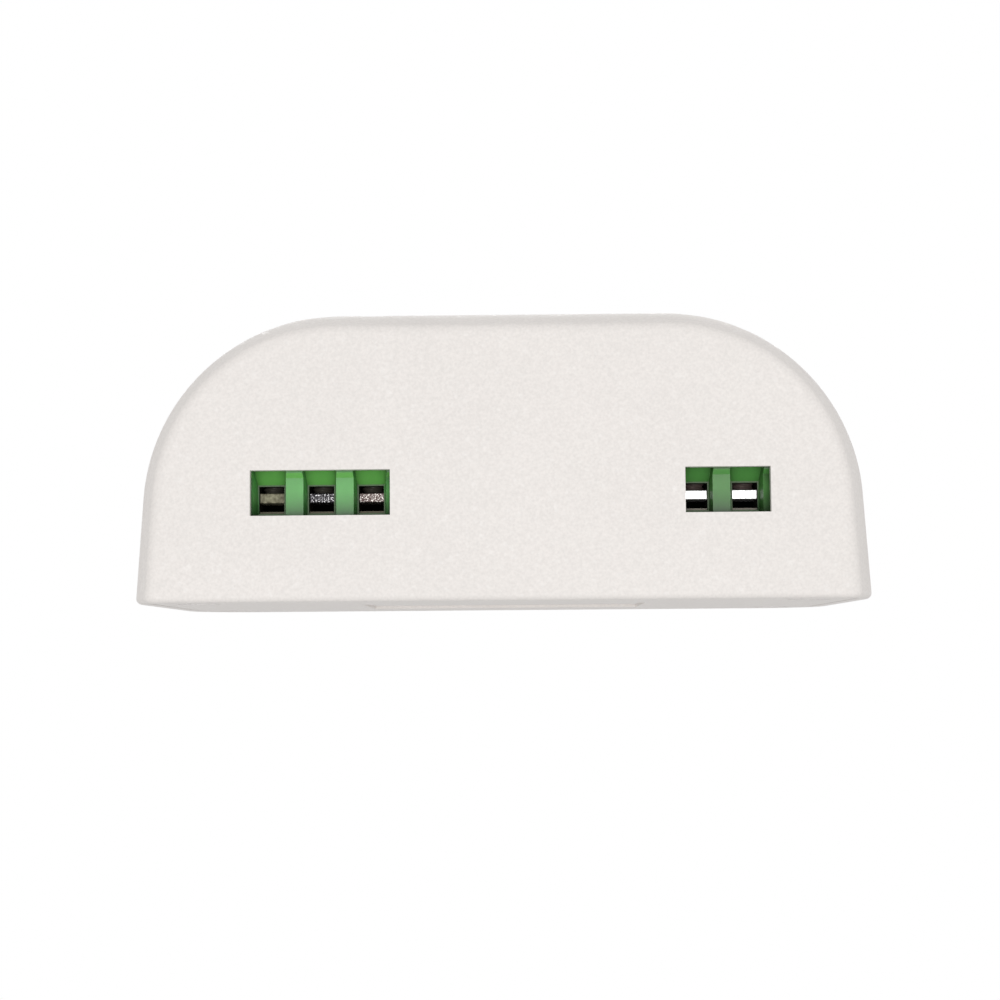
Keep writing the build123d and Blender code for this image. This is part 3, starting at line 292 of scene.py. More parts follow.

# %% [markdown]
# ## The case
# The case is a warm white ABS moulding with a satin grain. A bump node raises the grain by a few
# thousandths of a millimetre. Glints are grains that tilt towards the light, so they get a lower
# roughness and a painted glint, a colour a little whiter, and a few specks of dust sit on top.

# %% White satin plastic


def satin_plastic(name, color):
    """Moulded plastic from a spark-eroded mould, with glints painted whiter and a little dust."""
    material, tree, shader = new_material(name, Specular_IOR_Level=0.4)
    place = place_in_piece(tree)
    texture = use_group(tree, grain, Place=place, Size=0.34 * MM, Detail=2.0)
    shade = use_group(tree, tone, Place=place, Size=9 * MM, Color=color, Change=0.04)
    mottle = use_group(tree, tone, Place=place, Size=0.3 * MM, Color=shade["Color"], Change=0.24)
    specks = use_group(tree, dust, Place=place, Spacing=7 * MM, Dot_size=0.14 * MM, Amount=0.16)
    rough = calc(tree, "SUBTRACT", 0.58, calc(tree, "MULTIPLY", texture["Glints"], 0.2))
    # Glint grains are painted a little whiter: a painted glint.
    glint_painted_whiter = mix_colors(tree, calc(tree, "MULTIPLY", texture["Glints"], 0.07), mottle["Color"], (1, 1, 1, 1))
    dusty = mix_colors(tree, calc(tree, "MULTIPLY", specks["Mask"], 0.35), glint_painted_whiter, sampled(150, 104, 96))
    tree.links.new(dusty, shader.inputs["Base Color"])
    tree.links.new(rough, shader.inputs["Roughness"])
    bump(tree, shader, texture["Height"], 0.02 * MM)
    return material


case_white = satin_plastic("case_plastic", sampled(236, 231, 227))
print("made", case_white.name)

# %% [markdown]
# ## The green terminals
# Terminal blocks are moulded in a green polyamide. It is slightly see-through, so light that goes in
# at a thin rib comes out again, which brightens it: that is what subsurface scattering does. Faces
# that look down get a lighter green, which is painted light. Less light gets into the corners of the
# wire funnels. An Ambient Occlusion node measures how much of the air in front of a point is open, and
# the colour is darkened where little is: painted shade. The colour is also darkened towards the foot
# of a block, next to the board: painted shade too.

# %% Green polyamide
# The foot shade: over this reach above the foot, the colour is darkened as painted shade.
FOOT_SHADE_START = 1.1 * MM
FOOT_SHADE_REACH = 2.7 * MM
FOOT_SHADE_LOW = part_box("output_terminal_housing")[0].z + FOOT_SHADE_START
FOOT_SHADE_HIGH = FOOT_SHADE_LOW + FOOT_SHADE_REACH


def soft_green(name, color, lit_ceiling_color, specular):
    """Polyamide that lets a little light in, with flow marks from the mould.

    Faces that look down take a lighter green, which is painted light. Corners and the foot of the block get
    painted shade.
    """
    material, tree, shader = new_material(
        name, Specular_IOR_Level=specular, Subsurface_Weight=0.15, Subsurface_Scale=0.6 * MM,
        Subsurface_Radius=(0.3, 1.0, 0.3),
    )
    place = place_in_piece(tree)
    texture = use_group(tree, grain, Place=place, Size=0.09 * MM, Detail=2.0)
    shade = use_group(tree, tone, Place=place, Size=1.6 * MM, Color=color, Change=0.22)
    worn = use_group(tree, rubbed, Place=place, Width=0.12 * MM, Breaks=0.5 * MM)
    # Faces that look down are painted a lighter green: painted light.
    ceiling = ramp(tree, facing_up(tree), -0.3, -0.6)
    with_painted_light = mix_colors(tree, ceiling, shade["Color"], lit_ceiling_color)
    pale = mix_colors(tree, calc(tree, "MULTIPLY", worn["Mask"], 0.3), with_painted_light, sampled(176, 222, 172))
    # Corners with little open air in front are darkened: painted shade.
    air = put(tree, "AmbientOcclusion", {"Distance": 2.2 * MM}, samples=8).outputs["AO"]
    free = ramp(tree, air, 0.2, 0.8, first=0.25)
    # The colour darkens towards the foot of the block: painted shade.
    height = put(tree, "SeparateXYZ", {"Vector": place}).outputs["Z"]
    out_of_foot_shade = ramp(tree, height, FOOT_SHADE_LOW, FOOT_SHADE_HIGH, first=0.3)
    light = calc(tree, "MULTIPLY", free, out_of_foot_shade)
    with_painted_shade = put(tree, "VectorMath", {0: pale, "Scale": light}, operation="SCALE").outputs[0]
    tree.links.new(with_painted_shade, shader.inputs["Base Color"])
    rough = calc(tree, "ADD", 0.3, calc(tree, "MULTIPLY", texture["Height"], 0.2))
    tree.links.new(rough, shader.inputs["Roughness"])
    bump(tree, shader, texture["Height"], 0.008 * MM)
    return material


# The second colour of each pair is the lighter green of faces that look down: painted light.
green, funnel_green = sampled(98, 174, 92), sampled(112, 188, 92)
dark_green, dark_funnel_green = sampled(80, 138, 68), sampled(92, 158, 80)
greens = {
    "output_terminal_housing": soft_green("terminal_green", green, funnel_green, 0.5),
    "input_terminal_housing": soft_green("terminal_green_dark", dark_green, dark_funnel_green, 0.5),
}
funnel_greens = {
    "output_terminal_housing": soft_green("funnel_green", green, funnel_green, 0.1),
    "input_terminal_housing": soft_green("funnel_green_dark", dark_green, dark_funnel_green, 0.1),
}
print("made", [finish.name for finish in (*greens.values(), *funnel_greens.values())])

# %% [markdown]
# ## Metals
# The clamps are plated steel that has been tumbled in a drum with thousands of others, so they are
# speckled with dents and dull spots. One function makes nearly all the metals: it sets the colour, how
# dull the metal is, and how coarse its speckle.

# %% Plated, rolled and drawn metal


def metal(
    name, color, dull, speckle, roughness, tarnish=(0.1, 0.08, 0.06, 1), metallic=1.0, spread=0.12, level=0.5,
):
    """Metal with a speckled surface. dull is the share of tarnish in the deepest spots.

    A small spread gives spots with hard edges, a large one gives clouds. A high level gives many.
    """
    material, tree, shader = new_material(name, Metallic=metallic)
    place = place_in_piece(tree)
    texture = use_group(tree, grain, Place=place, Size=speckle, Detail=4.0)
    shade = use_group(tree, tone, Place=place, Size=8 * speckle, Color=color, Change=0.3)
    spots = ramp(tree, texture["Height"], level + spread, level - spread, last=dull)
    stained = mix_colors(tree, spots, shade["Color"], tarnish)
    tree.links.new(stained, shader.inputs["Base Color"])
    rough = calc(tree, "ADD", roughness, calc(tree, "MULTIPLY", texture["Height"], 0.25))
    tree.links.new(rough, shader.inputs["Roughness"])
    bump(tree, shader, texture["Height"], 0.15 * speckle)
    return material


metals = {
    "clamp_metal": metal("clamp_metal", sampled(88, 88, 76), 0.6, 0.16 * MM, 0.4),
    "zinc_steel": metal("zinc_steel", sampled(196, 200, 204), 0.25, 0.3 * MM, 0.25),
    "tinned_metal": metal("tinned_metal", sampled(214, 214, 212), 0.15, 0.5 * MM, 0.2),
    "soft_iron": metal("soft_iron", sampled(176, 176, 174), 0.3, 0.4 * MM, 0.3),
    "contact_copper": metal("contact_copper", sampled(226, 172, 108), 0.3, 0.3 * MM, 0.2),
}
print("made", sorted(metals))

# %% [markdown]
# The five clamp leaves came out of the drum differently. On the left block the first one is dull and
# yellowish and its neighbours are rough, with black pits between bright grains. The two on the right
# block are bright and smooth. So each leaf takes a finish of its own from the same function, and the
# frames round the right block's leaves, which are a little brighter than the left's, take one too.

# %% One finish for each clamp leaf
clamp_finishes = {
    "output_leaf_1": metal(
        "leaf_dull", sampled(188, 182, 156), 0.9, 0.45 * MM, 0.55, sampled(84, 76, 58),
        metallic=0.35, spread=0.18,
    ),
    "output_leaf_2": metal(
        "leaf_pitted", sampled(250, 248, 250), 0.98, 0.13 * MM, 0.35, sampled(24, 20, 26),
        spread=0.06, level=0.6,
    ),
    "output_leaf_3": metal(
        "leaf_rough", sampled(250, 244, 238), 0.95, 0.15 * MM, 0.35, sampled(58, 36, 36),
        spread=0.07, level=0.585,
    ),
    "input_leaf_1": metal("leaf_bright", sampled(252, 252, 252), 0.15, 0.3 * MM, 0.3),
    "input_leaf_2": metal("leaf_bright_2", sampled(252, 252, 252), 0.1, 0.3 * MM, 0.3),
    "input_clamp_frames": metal("frame_plated", sampled(104, 102, 96), 0.5, 0.16 * MM, 0.35),
}
print("made", [finish.name for finish in clamp_finishes.values()])

# %% [markdown]
# The clamp screws are two finishes in one: bright plating on top, and a dark tip, which is painted
# shade. The height in the piece tells one from the other.

# %% Screws that are bright on top, with painted shade at the tip
TIP_LENGTH = 1.6 * MM


def screw_metal(name, node, tip_shade_color):
    """Plated steel whose lower end is painted dark, as painted shade."""
    material, tree, shader = new_material(name)
    place = place_in_piece(tree)
    height = put(tree, "SeparateXYZ", {"Vector": place}).outputs["Z"]
    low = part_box(node)[0].z
    black = ramp(tree, height, low + 1.2 * TIP_LENGTH, low + 0.8 * TIP_LENGTH, last=0.95)
    texture = use_group(tree, grain, Place=place, Size=0.12 * MM, Detail=3.0)
    shade = use_group(tree, tone, Place=place, Size=1.2 * MM, Color=sampled(206, 204, 198), Change=0.3)
    # The tip's dark colour is painted shade.
    tip_shade = use_group(tree, tone, Place=place, Size=0.5 * MM, Color=tip_shade_color, Change=1.2)
    tree.links.new(mix_colors(tree, black, shade["Color"], tip_shade["Color"]), shader.inputs["Base Color"])
    rough = calc(tree, "ADD", 0.25, calc(tree, "MULTIPLY", black, 0.25))
    tree.links.new(rough, shader.inputs["Roughness"])
    tree.links.new(calc(tree, "SUBTRACT", 1.0, black), shader.inputs["Metallic"])
    bump(tree, shader, texture["Height"], 0.01 * MM)
    return material


screw_steels = {
    "output": screw_metal("screw_steel", "output_screw_1", sampled(54, 50, 40)),
    # The input screws' tip is a lighter brown: a painted highlight within the painted shade.
    "input": screw_metal("screw_steel_brown", "input_screw_1", sampled(92, 74, 70)),
}
print("made", [steel.name for steel in screw_steels.values()])

# %% [markdown]
# ## Plain mouldings, cans and chips
# The pieces on the board are small, and most are dark. What tells them apart is their gloss: an epoxy
# chip is dull and slightly grainy, a dipped varistor shines like candy, and a ferrite is matt like
# slate.

# %% Dyed plastics, ceramics and coatings
EDGE_ROUNDING = 0.12 * MM


def dusty_color(tree, place, color):
    """The colour with a few grey specks of dust on it."""
    specks = use_group(tree, dust, Place=place, Spacing=1.6 * MM, Dot_size=0.1 * MM, Amount=0.3)
    return mix_colors(tree, calc(tree, "MULTIPLY", specks["Mask"], 0.25), color, sampled(160, 155, 148))


def moulding(name, color, roughness, grain_size, depth, coat=0.0, change=0.12, specular=0.5):
    """A dyed, coated or sintered piece with its own grain and gloss."""
    material, tree, shader = new_material(
        name, Coat_Weight=coat, Coat_Roughness=0.08, Specular_IOR_Level=specular,
    )
    place = place_in_piece(tree)
    texture = use_group(tree, grain, Place=place, Size=grain_size, Detail=3.0)
    shade = use_group(tree, tone, Place=place, Size=2.5 * MM, Color=color, Change=change)
    tree.links.new(dusty_color(tree, place, shade["Color"]), shader.inputs["Base Color"])
    rough = calc(tree, "ADD", roughness, calc(tree, "MULTIPLY", texture["Height"], 0.15))
    tree.links.new(rough, shader.inputs["Roughness"])
    bump(tree, shader, texture["Height"], depth, EDGE_ROUNDING if specular else 0.0)
    return material


mouldings = {
    "relay_blue": moulding("relay_blue", sampled(36, 96, 168), 0.25, 0.2 * MM, 0.006 * MM, coat=0.2),
    "black_plastic": moulding("black_plastic", sampled(34, 34, 36), 0.45, 0.12 * MM, 0.008 * MM),
    "fuse_plastic": moulding("fuse_plastic", sampled(58, 54, 50), 0.4, 0.15 * MM, 0.006 * MM),
    "varistor_blue": moulding("varistor_blue", sampled(34, 86, 150), 0.2, 0.6 * MM, 0.03 * MM, coat=0.6),
    "ferrite": moulding("ferrite", sampled(62, 62, 66), 0.7, 0.1 * MM, 0.015 * MM),
    "winding_tape": moulding("winding_tape", sampled(236, 190, 60), 0.25, 0.8 * MM, 0.01 * MM, coat=0.4),
    "chip_ceramic": moulding("chip_ceramic", sampled(74, 66, 58), 0.4, 0.08 * MM, 0.004 * MM),
    "can_sleeve": moulding("can_sleeve", sampled(44, 48, 62), 0.25, 0.5 * MM, 0.004 * MM, coat=0.3),
    "copper_wire": moulding("copper_wire", sampled(190, 98, 48), 0.3, 0.2 * MM, 0.01 * MM, coat=0.6),
}
light_cream = moulding("light_cream", sampled(238, 226, 182), 0.3, 0.3 * MM, 0.004 * MM, coat=0.3)
print("made", sorted(mouldings), light_cream.name)

# %% [markdown]
# ## The circuit boards
# A board is glass fibre with copper tracks under a green lacquer. The lacquer is a little lighter and
# higher where copper lies under it. Tracks run straight and turn square, and the joints of a brick
# wall do the same, so a brick pattern draws them, and slow noise wipes some of them out. Only the flat
# sides are lacquered: the sawn edges show the bare, yellowish fibre.

# %% Green lacquer over copper tracks
TRACK_STEP = 2.0 * MM


def printed_board(name):
    """Glass fibre with tracks under a glossy green lacquer, bare at its sawn edges."""
    material, tree, shader = new_material(name, Coat_Weight=0.3, Coat_Roughness=0.1)
    place = place_in_piece(tree)
    bricks = {
        "Vector": place, "Scale": 1 / TRACK_STEP, "Mortar Size": 0.09, "Mortar Smooth": 0.2,
        "Brick Width": 3.7, "Row Height": 0.62,
    }
    joints = put(tree, "TexBrick", bricks, offset=0.37, squash=0.6, squash_frequency=3).outputs["Fac"]
    wiped = use_group(tree, tone, Place=place, Size=5 * MM)
    tracks = calc(tree, "MULTIPLY", joints, calc(tree, "GREATER_THAN", wiped["Mask"], 0.48))
    lacquer = mix_colors(tree, tracks, sampled(22, 84, 46), sampled(58, 132, 66))
    edge = calc(tree, "LESS_THAN", calc(tree, "ABSOLUTE", facing_up(tree)), 0.5)
    bare = mix_colors(tree, edge, lacquer, sampled(178, 170, 112))
    shade = use_group(tree, tone, Place=place, Size=4 * MM, Color=bare, Change=0.15)
    tree.links.new(dusty_color(tree, place, shade["Color"]), shader.inputs["Base Color"])
    tree.links.new(calc(tree, "ADD", 0.28, calc(tree, "MULTIPLY", edge, 0.4)), shader.inputs["Roughness"])
    bump(tree, shader, tracks, 0.03 * MM)
    return material


board_green = printed_board("board_green")
print("made", board_green.name)

# %% [markdown]
# ## The light pipe
# The pipe is clear acrylic, slightly frosted all over, so that the small lamp below it fills its end
# with an even glow instead of a bright dot.

# %% Clear acrylic
clear_plastic, tree, shader = new_material(
    "clear_plastic", Base_Color=(0.95, 0.97, 0.97, 1), Transmission_Weight=0.85, IOR=1.49,
)
frosting = use_group(tree, grain, Place=place_in_piece(tree), Size=0.1 * MM, Detail=2.0)
frosted = calc(tree, "ADD", 0.12, calc(tree, "MULTIPLY", frosting["Height"], 0.3))
tree.links.new(frosted, shader.inputs["Roughness"])
bump(tree, shader, frosting["Height"], 0.006 * MM)
print("made", clear_plastic.name)

# %% [markdown]
# ## Giving each piece its finish
# The record lists which finish each piece takes. A loop reads that list, so no piece is forgotten. The
# few pieces that differ from the rest of their kind, such as the clamp leaves, are looked up first.

# %% Put the materials on
finishes = {
    "case_plastic": case_white, "clear_plastic": clear_plastic, "board_green": board_green,
    **metals, **mouldings,
}
own_finishes = {**greens, **clamp_finishes, "status_light": light_cream}
used = set()
for row in frame["record"]["subparts"]:
    mesh = nodes[row["node"]].data
    mesh.materials.clear()
    mesh.materials.append(own_finishes.get(row["node"]) or finishes[row["material_slot"]])
    used.add(mesh.materials[0].name)

# %% [markdown]
# A terminal block isn't the same colour all through. Its funnels have no gloss, the rims of the wire
# holes are worn grey, and the clamp chambers behind them are painted near black as painted shade. Each
# of these is a set of faces of the same moulding, so the faces are picked by the box that their middles
# lie in, and get another material.

# %% A painter for the faces in a box


def paint_faces(node, material, low, high):
    """Give another material to the faces whose middles lie in a box."""
    mesh = nodes[node].data
    if material.name not in mesh.materials:
        mesh.materials.append(material)
    slot = mesh.materials.find(material.name)
    picked = [face for face in mesh.polygons if all(a < b < c for a, b, c in zip(low, face.center, high))]
    for face in picked:
        face.material_index = slot
    return len(picked)


print("face painter ready")

# %% Paint the funnels, the rims and the chambers
FUNNEL_DEPTH = 2.3 * MM
FUNNEL_HALF_WIDTH = 1.71 * MM
FUNNEL_FOOT = 1.0 * MM
FUNNEL_TOP = 6.3 * MM
RIM_DEPTH = 0.05 * MM
CHAMBER_HALF_WIDTH = 1.8 * MM
CHAMBER_TOP = 6.8 * MM
REAR_WALL = 0.5 * MM
END_RIB = 1.2 * MM
rim_grey = moulding("rim_grey", sampled(104, 124, 96), 0.6, 0.1 * MM, 0.01 * MM)
# The chambers are painted near black: painted shade, since little light gets in there.
chamber_painted_shade = moulding("chamber_painted_shade", sampled(12, 14, 12), 0.9, 0.2 * MM, 0.01 * MM, specular=0.0)
for side, count in (("output", 3), ("input", 2)):
    housing = f"{side}_terminal_housing"
    low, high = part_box(housing)
    entry = low.y + FUNNEL_DEPTH
    for number in range(1, count + 1):
        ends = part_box(f"{side}_leaf_{number}")
        x = (ends[0].x + ends[1].x) / 2
        in_funnel = paint_faces(
            housing, funnel_greens[housing], (x - FUNNEL_HALF_WIDTH, low.y, low.z + FUNNEL_FOOT),
            (x + FUNNEL_HALF_WIDTH, entry, low.z + FUNNEL_TOP),
        )
        in_rim = paint_faces(
            housing, rim_grey, (x - FUNNEL_HALF_WIDTH, entry - RIM_DEPTH, low.z),
            (x + FUNNEL_HALF_WIDTH, entry + RIM_DEPTH, high.z),
        )
        in_chamber = paint_faces(
            housing, chamber_painted_shade, (x - CHAMBER_HALF_WIDTH, entry + RIM_DEPTH, low.z),
            (x + CHAMBER_HALF_WIDTH, high.y - REAR_WALL, low.z + CHAMBER_TOP),
        )
        print(housing, number, "funnel", in_funnel, "rim", in_rim, "chamber", in_chamber)
    for side_low, side_high in ((low.x, low.x + END_RIB), (high.x - END_RIB, high.x)):
        paint_faces(
            housing, funnel_greens[housing], (side_low, low.y, low.z), (side_high, entry, low.z + FUNNEL_TOP),
        )

# %% [markdown]
# ## The small parts on the board
# The legs of a chip are the faces outside its body, so the same painter tins them: the faces that lie
# within a leg's reach of either end, along the axis on which the legs stand out (0 for X, 1 for Y).

# %% Tin the legs of the chips
LEG_SHOWN = 0.55 * MM
TAB_SHOWN = 1.95 * MM
HAIR = 0.02 * MM
margin = Vector((HAIR, HAIR, HAIR))
for node, axis, reach_low, reach_high in (
    ("converter_chip", 1, LEG_SHOWN, LEG_SHOWN),
    ("bridge_rectifier", 0, LEG_SHOWN, LEG_SHOWN),
    ("voltage_regulator", 1, LEG_SHOWN, TAB_SHOWN),
    ("relay_driver", 1, LEG_SHOWN, LEG_SHOWN),
    ("output_diode", 0, LEG_SHOWN, LEG_SHOWN),
    ("clamp_diode", 1, LEG_SHOWN, LEG_SHOWN),
):
    low, high = (corner.copy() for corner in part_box(node))
    first_end, last_start = high.copy(), low.copy()
    first_end[axis] = low[axis] + reach_low
    last_start[axis] = high[axis] - reach_high
    tinned = paint_faces(node, metals["tinned_metal"], low - margin, first_end + margin)
    tinned += paint_faces(node, metals["tinned_metal"], last_start - margin, high + margin)
    print(node, tinned, "faces tinned")

# %% [markdown]
# A rolled can wears a plastic sleeve with a pale stripe that marks its minus side, and its bare
# aluminium top is scored with a cross, where it opens if the pressure inside grows too high.

# %% The stripes and the scored tops of the cans
STRIPE_START_SHARE = 0.93
can_stripe = moulding("can_stripe", sampled(196, 200, 208), 0.25, 0.5 * MM, 0.004 * MM, coat=0.3)


def scored_top(name, middle):
    """Bare aluminium with a cross pressed into it, painted darker as painted shade in the groove."""
    material, tree, shader = new_material(name, Metallic=1.0, Roughness=0.3)
    place = place_in_piece(tree)
    from_middle = put(tree, "VectorMath", {0: place, 1: middle}, operation="SUBTRACT").outputs[0]
    ways = put(tree, "SeparateXYZ", {"Vector": from_middle}).outputs
    near = calc(tree, "MINIMUM", calc(tree, "ABSOLUTE", ways["X"]), calc(tree, "ABSOLUTE", ways["Y"]))
    flat = ramp(tree, near, 0.1 * MM, 0.2 * MM)
    shade = use_group(tree, tone, Place=place, Size=1.0 * MM, Color=sampled(206, 208, 210), Change=0.2)
    # The darker grey in the cross is painted shade in the groove.
    pressed = mix_colors(tree, flat, sampled(120, 122, 124), shade["Color"])
    tree.links.new(pressed, shader.inputs["Base Color"])
    bump(tree, shader, flat, 0.15 * MM)
    return material


for node in ("bulk_capacitor", "output_capacitor"):
    low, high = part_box(node)
    stripe_start = low.x + STRIPE_START_SHARE * (high.x - low.x)
    striped = paint_faces(node, can_stripe, (stripe_start, low.y, low.z), (high.x + HAIR, high.y, high.z))
    bare_metal = scored_top(f"{node}_top", (low + high) / 2)
    bare = paint_faces(
        node, bare_metal, (low.x, low.y, high.z - HAIR), (high.x, high.y, high.z + HAIR),
    )
    print(node, striped, "faces in the stripe,", bare, "bare on top")

# %% [markdown]
# A chip resistor is a white ceramic block with a black glass top, a chip capacitor is brown all
# through, and both are dipped in tin at their two ends. The chips of one kind lie in a row along X,
# one to each step, so the remainder of X by the step tells how far along its own chip a point is.

# %% Chips with tinned ends
CHIP_LENGTH = 1.6 * MM
CHIP_END = 0.3 * MM
RESISTOR_STEP = 6.4 * MM
CAPACITOR_STEP = 2.6 * MM


def chip_parts(name, node, step, side_color, top_color):
    """Ceramic chips, one to each step along X, with tin on their ends."""
    material, tree, shader = new_material(name)
    place = place_in_piece(tree)
    x = put(tree, "SeparateXYZ", {"Vector": place}).outputs["X"]
    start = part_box(node)[0].x - HAIR / 2
    along = calc(tree, "MODULO", calc(tree, "SUBTRACT", x, start), step)
    from_middle = calc(tree, "ABSOLUTE", calc(tree, "SUBTRACT", along, CHIP_LENGTH / 2))
    tin = calc(tree, "GREATER_THAN", from_middle, CHIP_LENGTH / 2 - CHIP_END)
    texture = use_group(tree, grain, Place=place, Size=0.1 * MM, Detail=2.0)
    body = mix_colors(tree, calc(tree, "GREATER_THAN", facing_up(tree), 0.5), side_color, top_color)
    dipped = mix_colors(tree, tin, body, sampled(208, 208, 204))
    shade = use_group(tree, tone, Place=place, Size=0.5 * MM, Color=dipped, Change=0.2)
    rough = calc(tree, "ADD", 0.25, calc(tree, "MULTIPLY", texture["Height"], 0.2))
    tree.links.new(shade["Color"], shader.inputs["Base Color"])
    tree.links.new(tin, shader.inputs["Metallic"])
    tree.links.new(rough, shader.inputs["Roughness"])
    bump(tree, shader, texture["Height"], 0.01 * MM)
    nodes[node].data.materials[0] = material
    return material


resistor = chip_parts(
    "chip_resistor", "chip_resistors", RESISTOR_STEP, sampled(226, 222, 212), sampled(34, 32, 32),
)
# The capacitors' tops are a few steps lighter than their sides: painted light.
capacitor = chip_parts(
    "chip_capacitor", "chip_capacitors", CAPACITOR_STEP, sampled(150, 116, 82), sampled(156, 122, 86),
)
print("made", resistor.name, capacitor.name)

# %% [markdown]
# ## Turned and wound pieces
# The CAD keeps a screw's thread and a coil's wire as plain cylinders, because their surfaces are far
# too fine for a solid that has to be checked. Here they are made as the lathe makes them: a profile
# is turned round an upright axis. A thread or a wire is the same profile with a ripple that climbs
# by one lead with each turn, so the ripple's place depends on the height and on the angle together.

# %% Mesh helpers


def add_box(mesh, low, high):
    """Add a box to a mesh that is being built."""
    size = Vector(high) - Vector(low)
    place = Matrix.Translation((Vector(low) + Vector(high)) / 2) @ Matrix.Diagonal((*size, 1))
    bmesh.ops.create_cube(mesh, size=1, matrix=place)


def finish_mesh(name, mesh):
    """Turn the mesh that was built into an object of the scene."""
    bmesh.ops.recalc_face_normals(mesh, faces=mesh.faces)
    data = bpy.data.meshes.new(name)
    mesh.to_mesh(data)
    mesh.free()
    piece = bpy.data.objects.new(name, data)
    bpy.context.scene.collection.objects.link(piece)
    return piece


def shade_smooth(piece, angle):
    """Smooth shading, but keep edges sharper than the angle crisp."""
    piece.data.shade_smooth()
    piece.data.set_sharp_from_angle(angle=radians(angle))


def round_piece(node):
    """The lower and upper corners of an upright round piece, its axis at (x, y) and its radius."""
    low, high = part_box(node)
    return low, high, ((low.x + high.x) / 2, (low.y + high.y) / 2), (high.x - low.x) / 2


print("mesh helpers ready")

# %% A lathe


def lathe(name, axis, profile, sides=48, lead=1.0, ripple=None, ring=False):
    """Turn a profile of (radius, height, ripple depth) round an upright axis at (x, y).

    A ring closes the profile on itself. Otherwise its first and last points lie on the axis.
    """
    mesh = bmesh.new()
    rows = []
    for radius, height, depth in profile:
        if radius == 0:
            rows.append([mesh.verts.new((*axis, height))])
            continue
        row = []
        for i in range(sides):
            angle = 2 * pi * i / sides
            share = (height / lead - i / sides) % 1
            reach = radius - (depth * ripple(share) if ripple else 0)
            row.append(mesh.verts.new((axis[0] + reach * cos(angle), axis[1] + reach * sin(angle), height)))
        rows.append(row)
    pairs = list(zip(rows, rows[1:] + rows[:1])) if ring else list(zip(rows, rows[1:]))
    for low, high in pairs:
        for i in range(sides):
            j = (i + 1) % sides
            corners = [low[i % len(low)], low[j % len(low)], high[j % len(high)], high[i % len(high)]]
            mesh.faces.new(list(dict.fromkeys(corners)))
    return finish_mesh(name, mesh)


print("lathe ready")

# %% The ripples of wires and threads
ROWS_PER_LEAD = 6


def wire_ripple(share):
    """The dip between round wires that lie side by side: 0 on top of a wire, 1 between two."""
    return 1 - sin(pi * share)


def thread_ripple(share):
    """A sharp thread: 0 on the crest, 1 at the root."""
    return abs(2 * share - 1)


def stack(low, high, step, radius, depth):
    """The part of a profile that carries the ripple, in even steps between two heights."""
    count = max(2, round((high - low) / step))
    return [(radius, low + (high - low) * i / count, depth) for i in range(count + 1)]


print(ROWS_PER_LEAD, "rows of points to each turn of a thread or wire")

# %% [markdown]
# ## Terminal screws
# Each clamp is closed by a slotted screw. The lathe makes the thread and the head, and the slot is
# then sawn across the head with a Boolean modifier, just as a slotting saw does it. The modifier is
# applied straight away, so that the piece is one plain mesh.

# %% A saw


def saw(piece, low, high):
    """Cut a box away from a piece."""
    blade = bmesh.new()
    add_box(blade, low, high)
    cutter = finish_mesh("saw", blade)
    cut = piece.modifiers.new("cut", "BOOLEAN")
    cut.operation = "DIFFERENCE"
    cut.object = cutter
    bpy.context.view_layer.update()
    graph = bpy.context.evaluated_depsgraph_get()
    finished = bpy.data.meshes.new_from_object(piece.evaluated_get(graph))
    piece.modifiers.clear()
    piece.data = finished
    bpy.data.objects.remove(cutter)


print("saw ready")

# %% Make the screws and let each ride on its own body
THREAD_LEAD = 0.45 * MM
THREAD_RADIUS = 1.2 * MM
THREAD_DEPTH = 0.24 * MM
HEAD_HEIGHT = 1.5 * MM
HEAD_RIM = 0.25 * MM
SLOT_WIDTH = 0.5 * MM
SLOT_DEPTH = 0.8 * MM


def terminal_screw(node, body):
    """A slotted clamp screw where the CAD has its plain one."""
    low, high, axis, head_radius = round_piece(node)
    head_low = high.z - HEAD_HEIGHT
    row_step = THREAD_LEAD / ROWS_PER_LEAD
    thread = stack(low.z + THREAD_DEPTH, head_low, row_step, THREAD_RADIUS, THREAD_DEPTH)
    profile = [
        (0, low.z, 0), (THREAD_RADIUS - THREAD_DEPTH, low.z, 0), *thread,
        (head_radius - HEAD_RIM / 2, head_low, 0), (head_radius, head_low + HEAD_RIM / 2, 0),
        (head_radius, high.z - HEAD_RIM, 0), (head_radius - HEAD_RIM, high.z, 0), (0, high.z, 0),
    ]
    screw = lathe(f"{node}_turned", axis, profile, lead=THREAD_LEAD, ripple=thread_ripple)
    past = 2 * head_radius
    saw(
        screw,
        (axis[0] - past, axis[1] - SLOT_WIDTH / 2, high.z - SLOT_DEPTH),
        (axis[0] + past, axis[1] + SLOT_WIDTH / 2, high.z + SLOT_DEPTH),
    )
    shade_smooth(screw, 35)
    screw.data.materials.clear()
    screw.data.materials.append(screw_steels[node.split("_")[0]])
    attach(screw, body)
    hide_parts(node)
    return screw


for side, count in (("output", 3), ("input", 2)):
    for number in range(1, count + 1):
        screw = terminal_screw(f"{side}_screw_{number}", f"{side}_driver_{number}")
        print(screw.name, len(screw.data.polygons), "faces")

# %% [markdown]
# ## Wound coils
# The relay's coil and the choke are wound with enamelled copper wire. From outside only the last
# layer shows, so a closed sleeve with the wire's ripple on its outer side is enough. The relay's
# wire is really as fine as a hair; its ripple is made a little coarser, so that it can be seen.

# %% Wind the relay and the choke
WIRE_DIP_SHARE = 0.4  # of the pitch
RELAY_BORE_SHARE = 2.55 / 4.5
CHOKE_BORE_SHARE = 1.65 / 2.8
RELAY_WIRE_PITCH = 0.22 * MM
CHOKE_WIRE_PITCH = 0.36 * MM


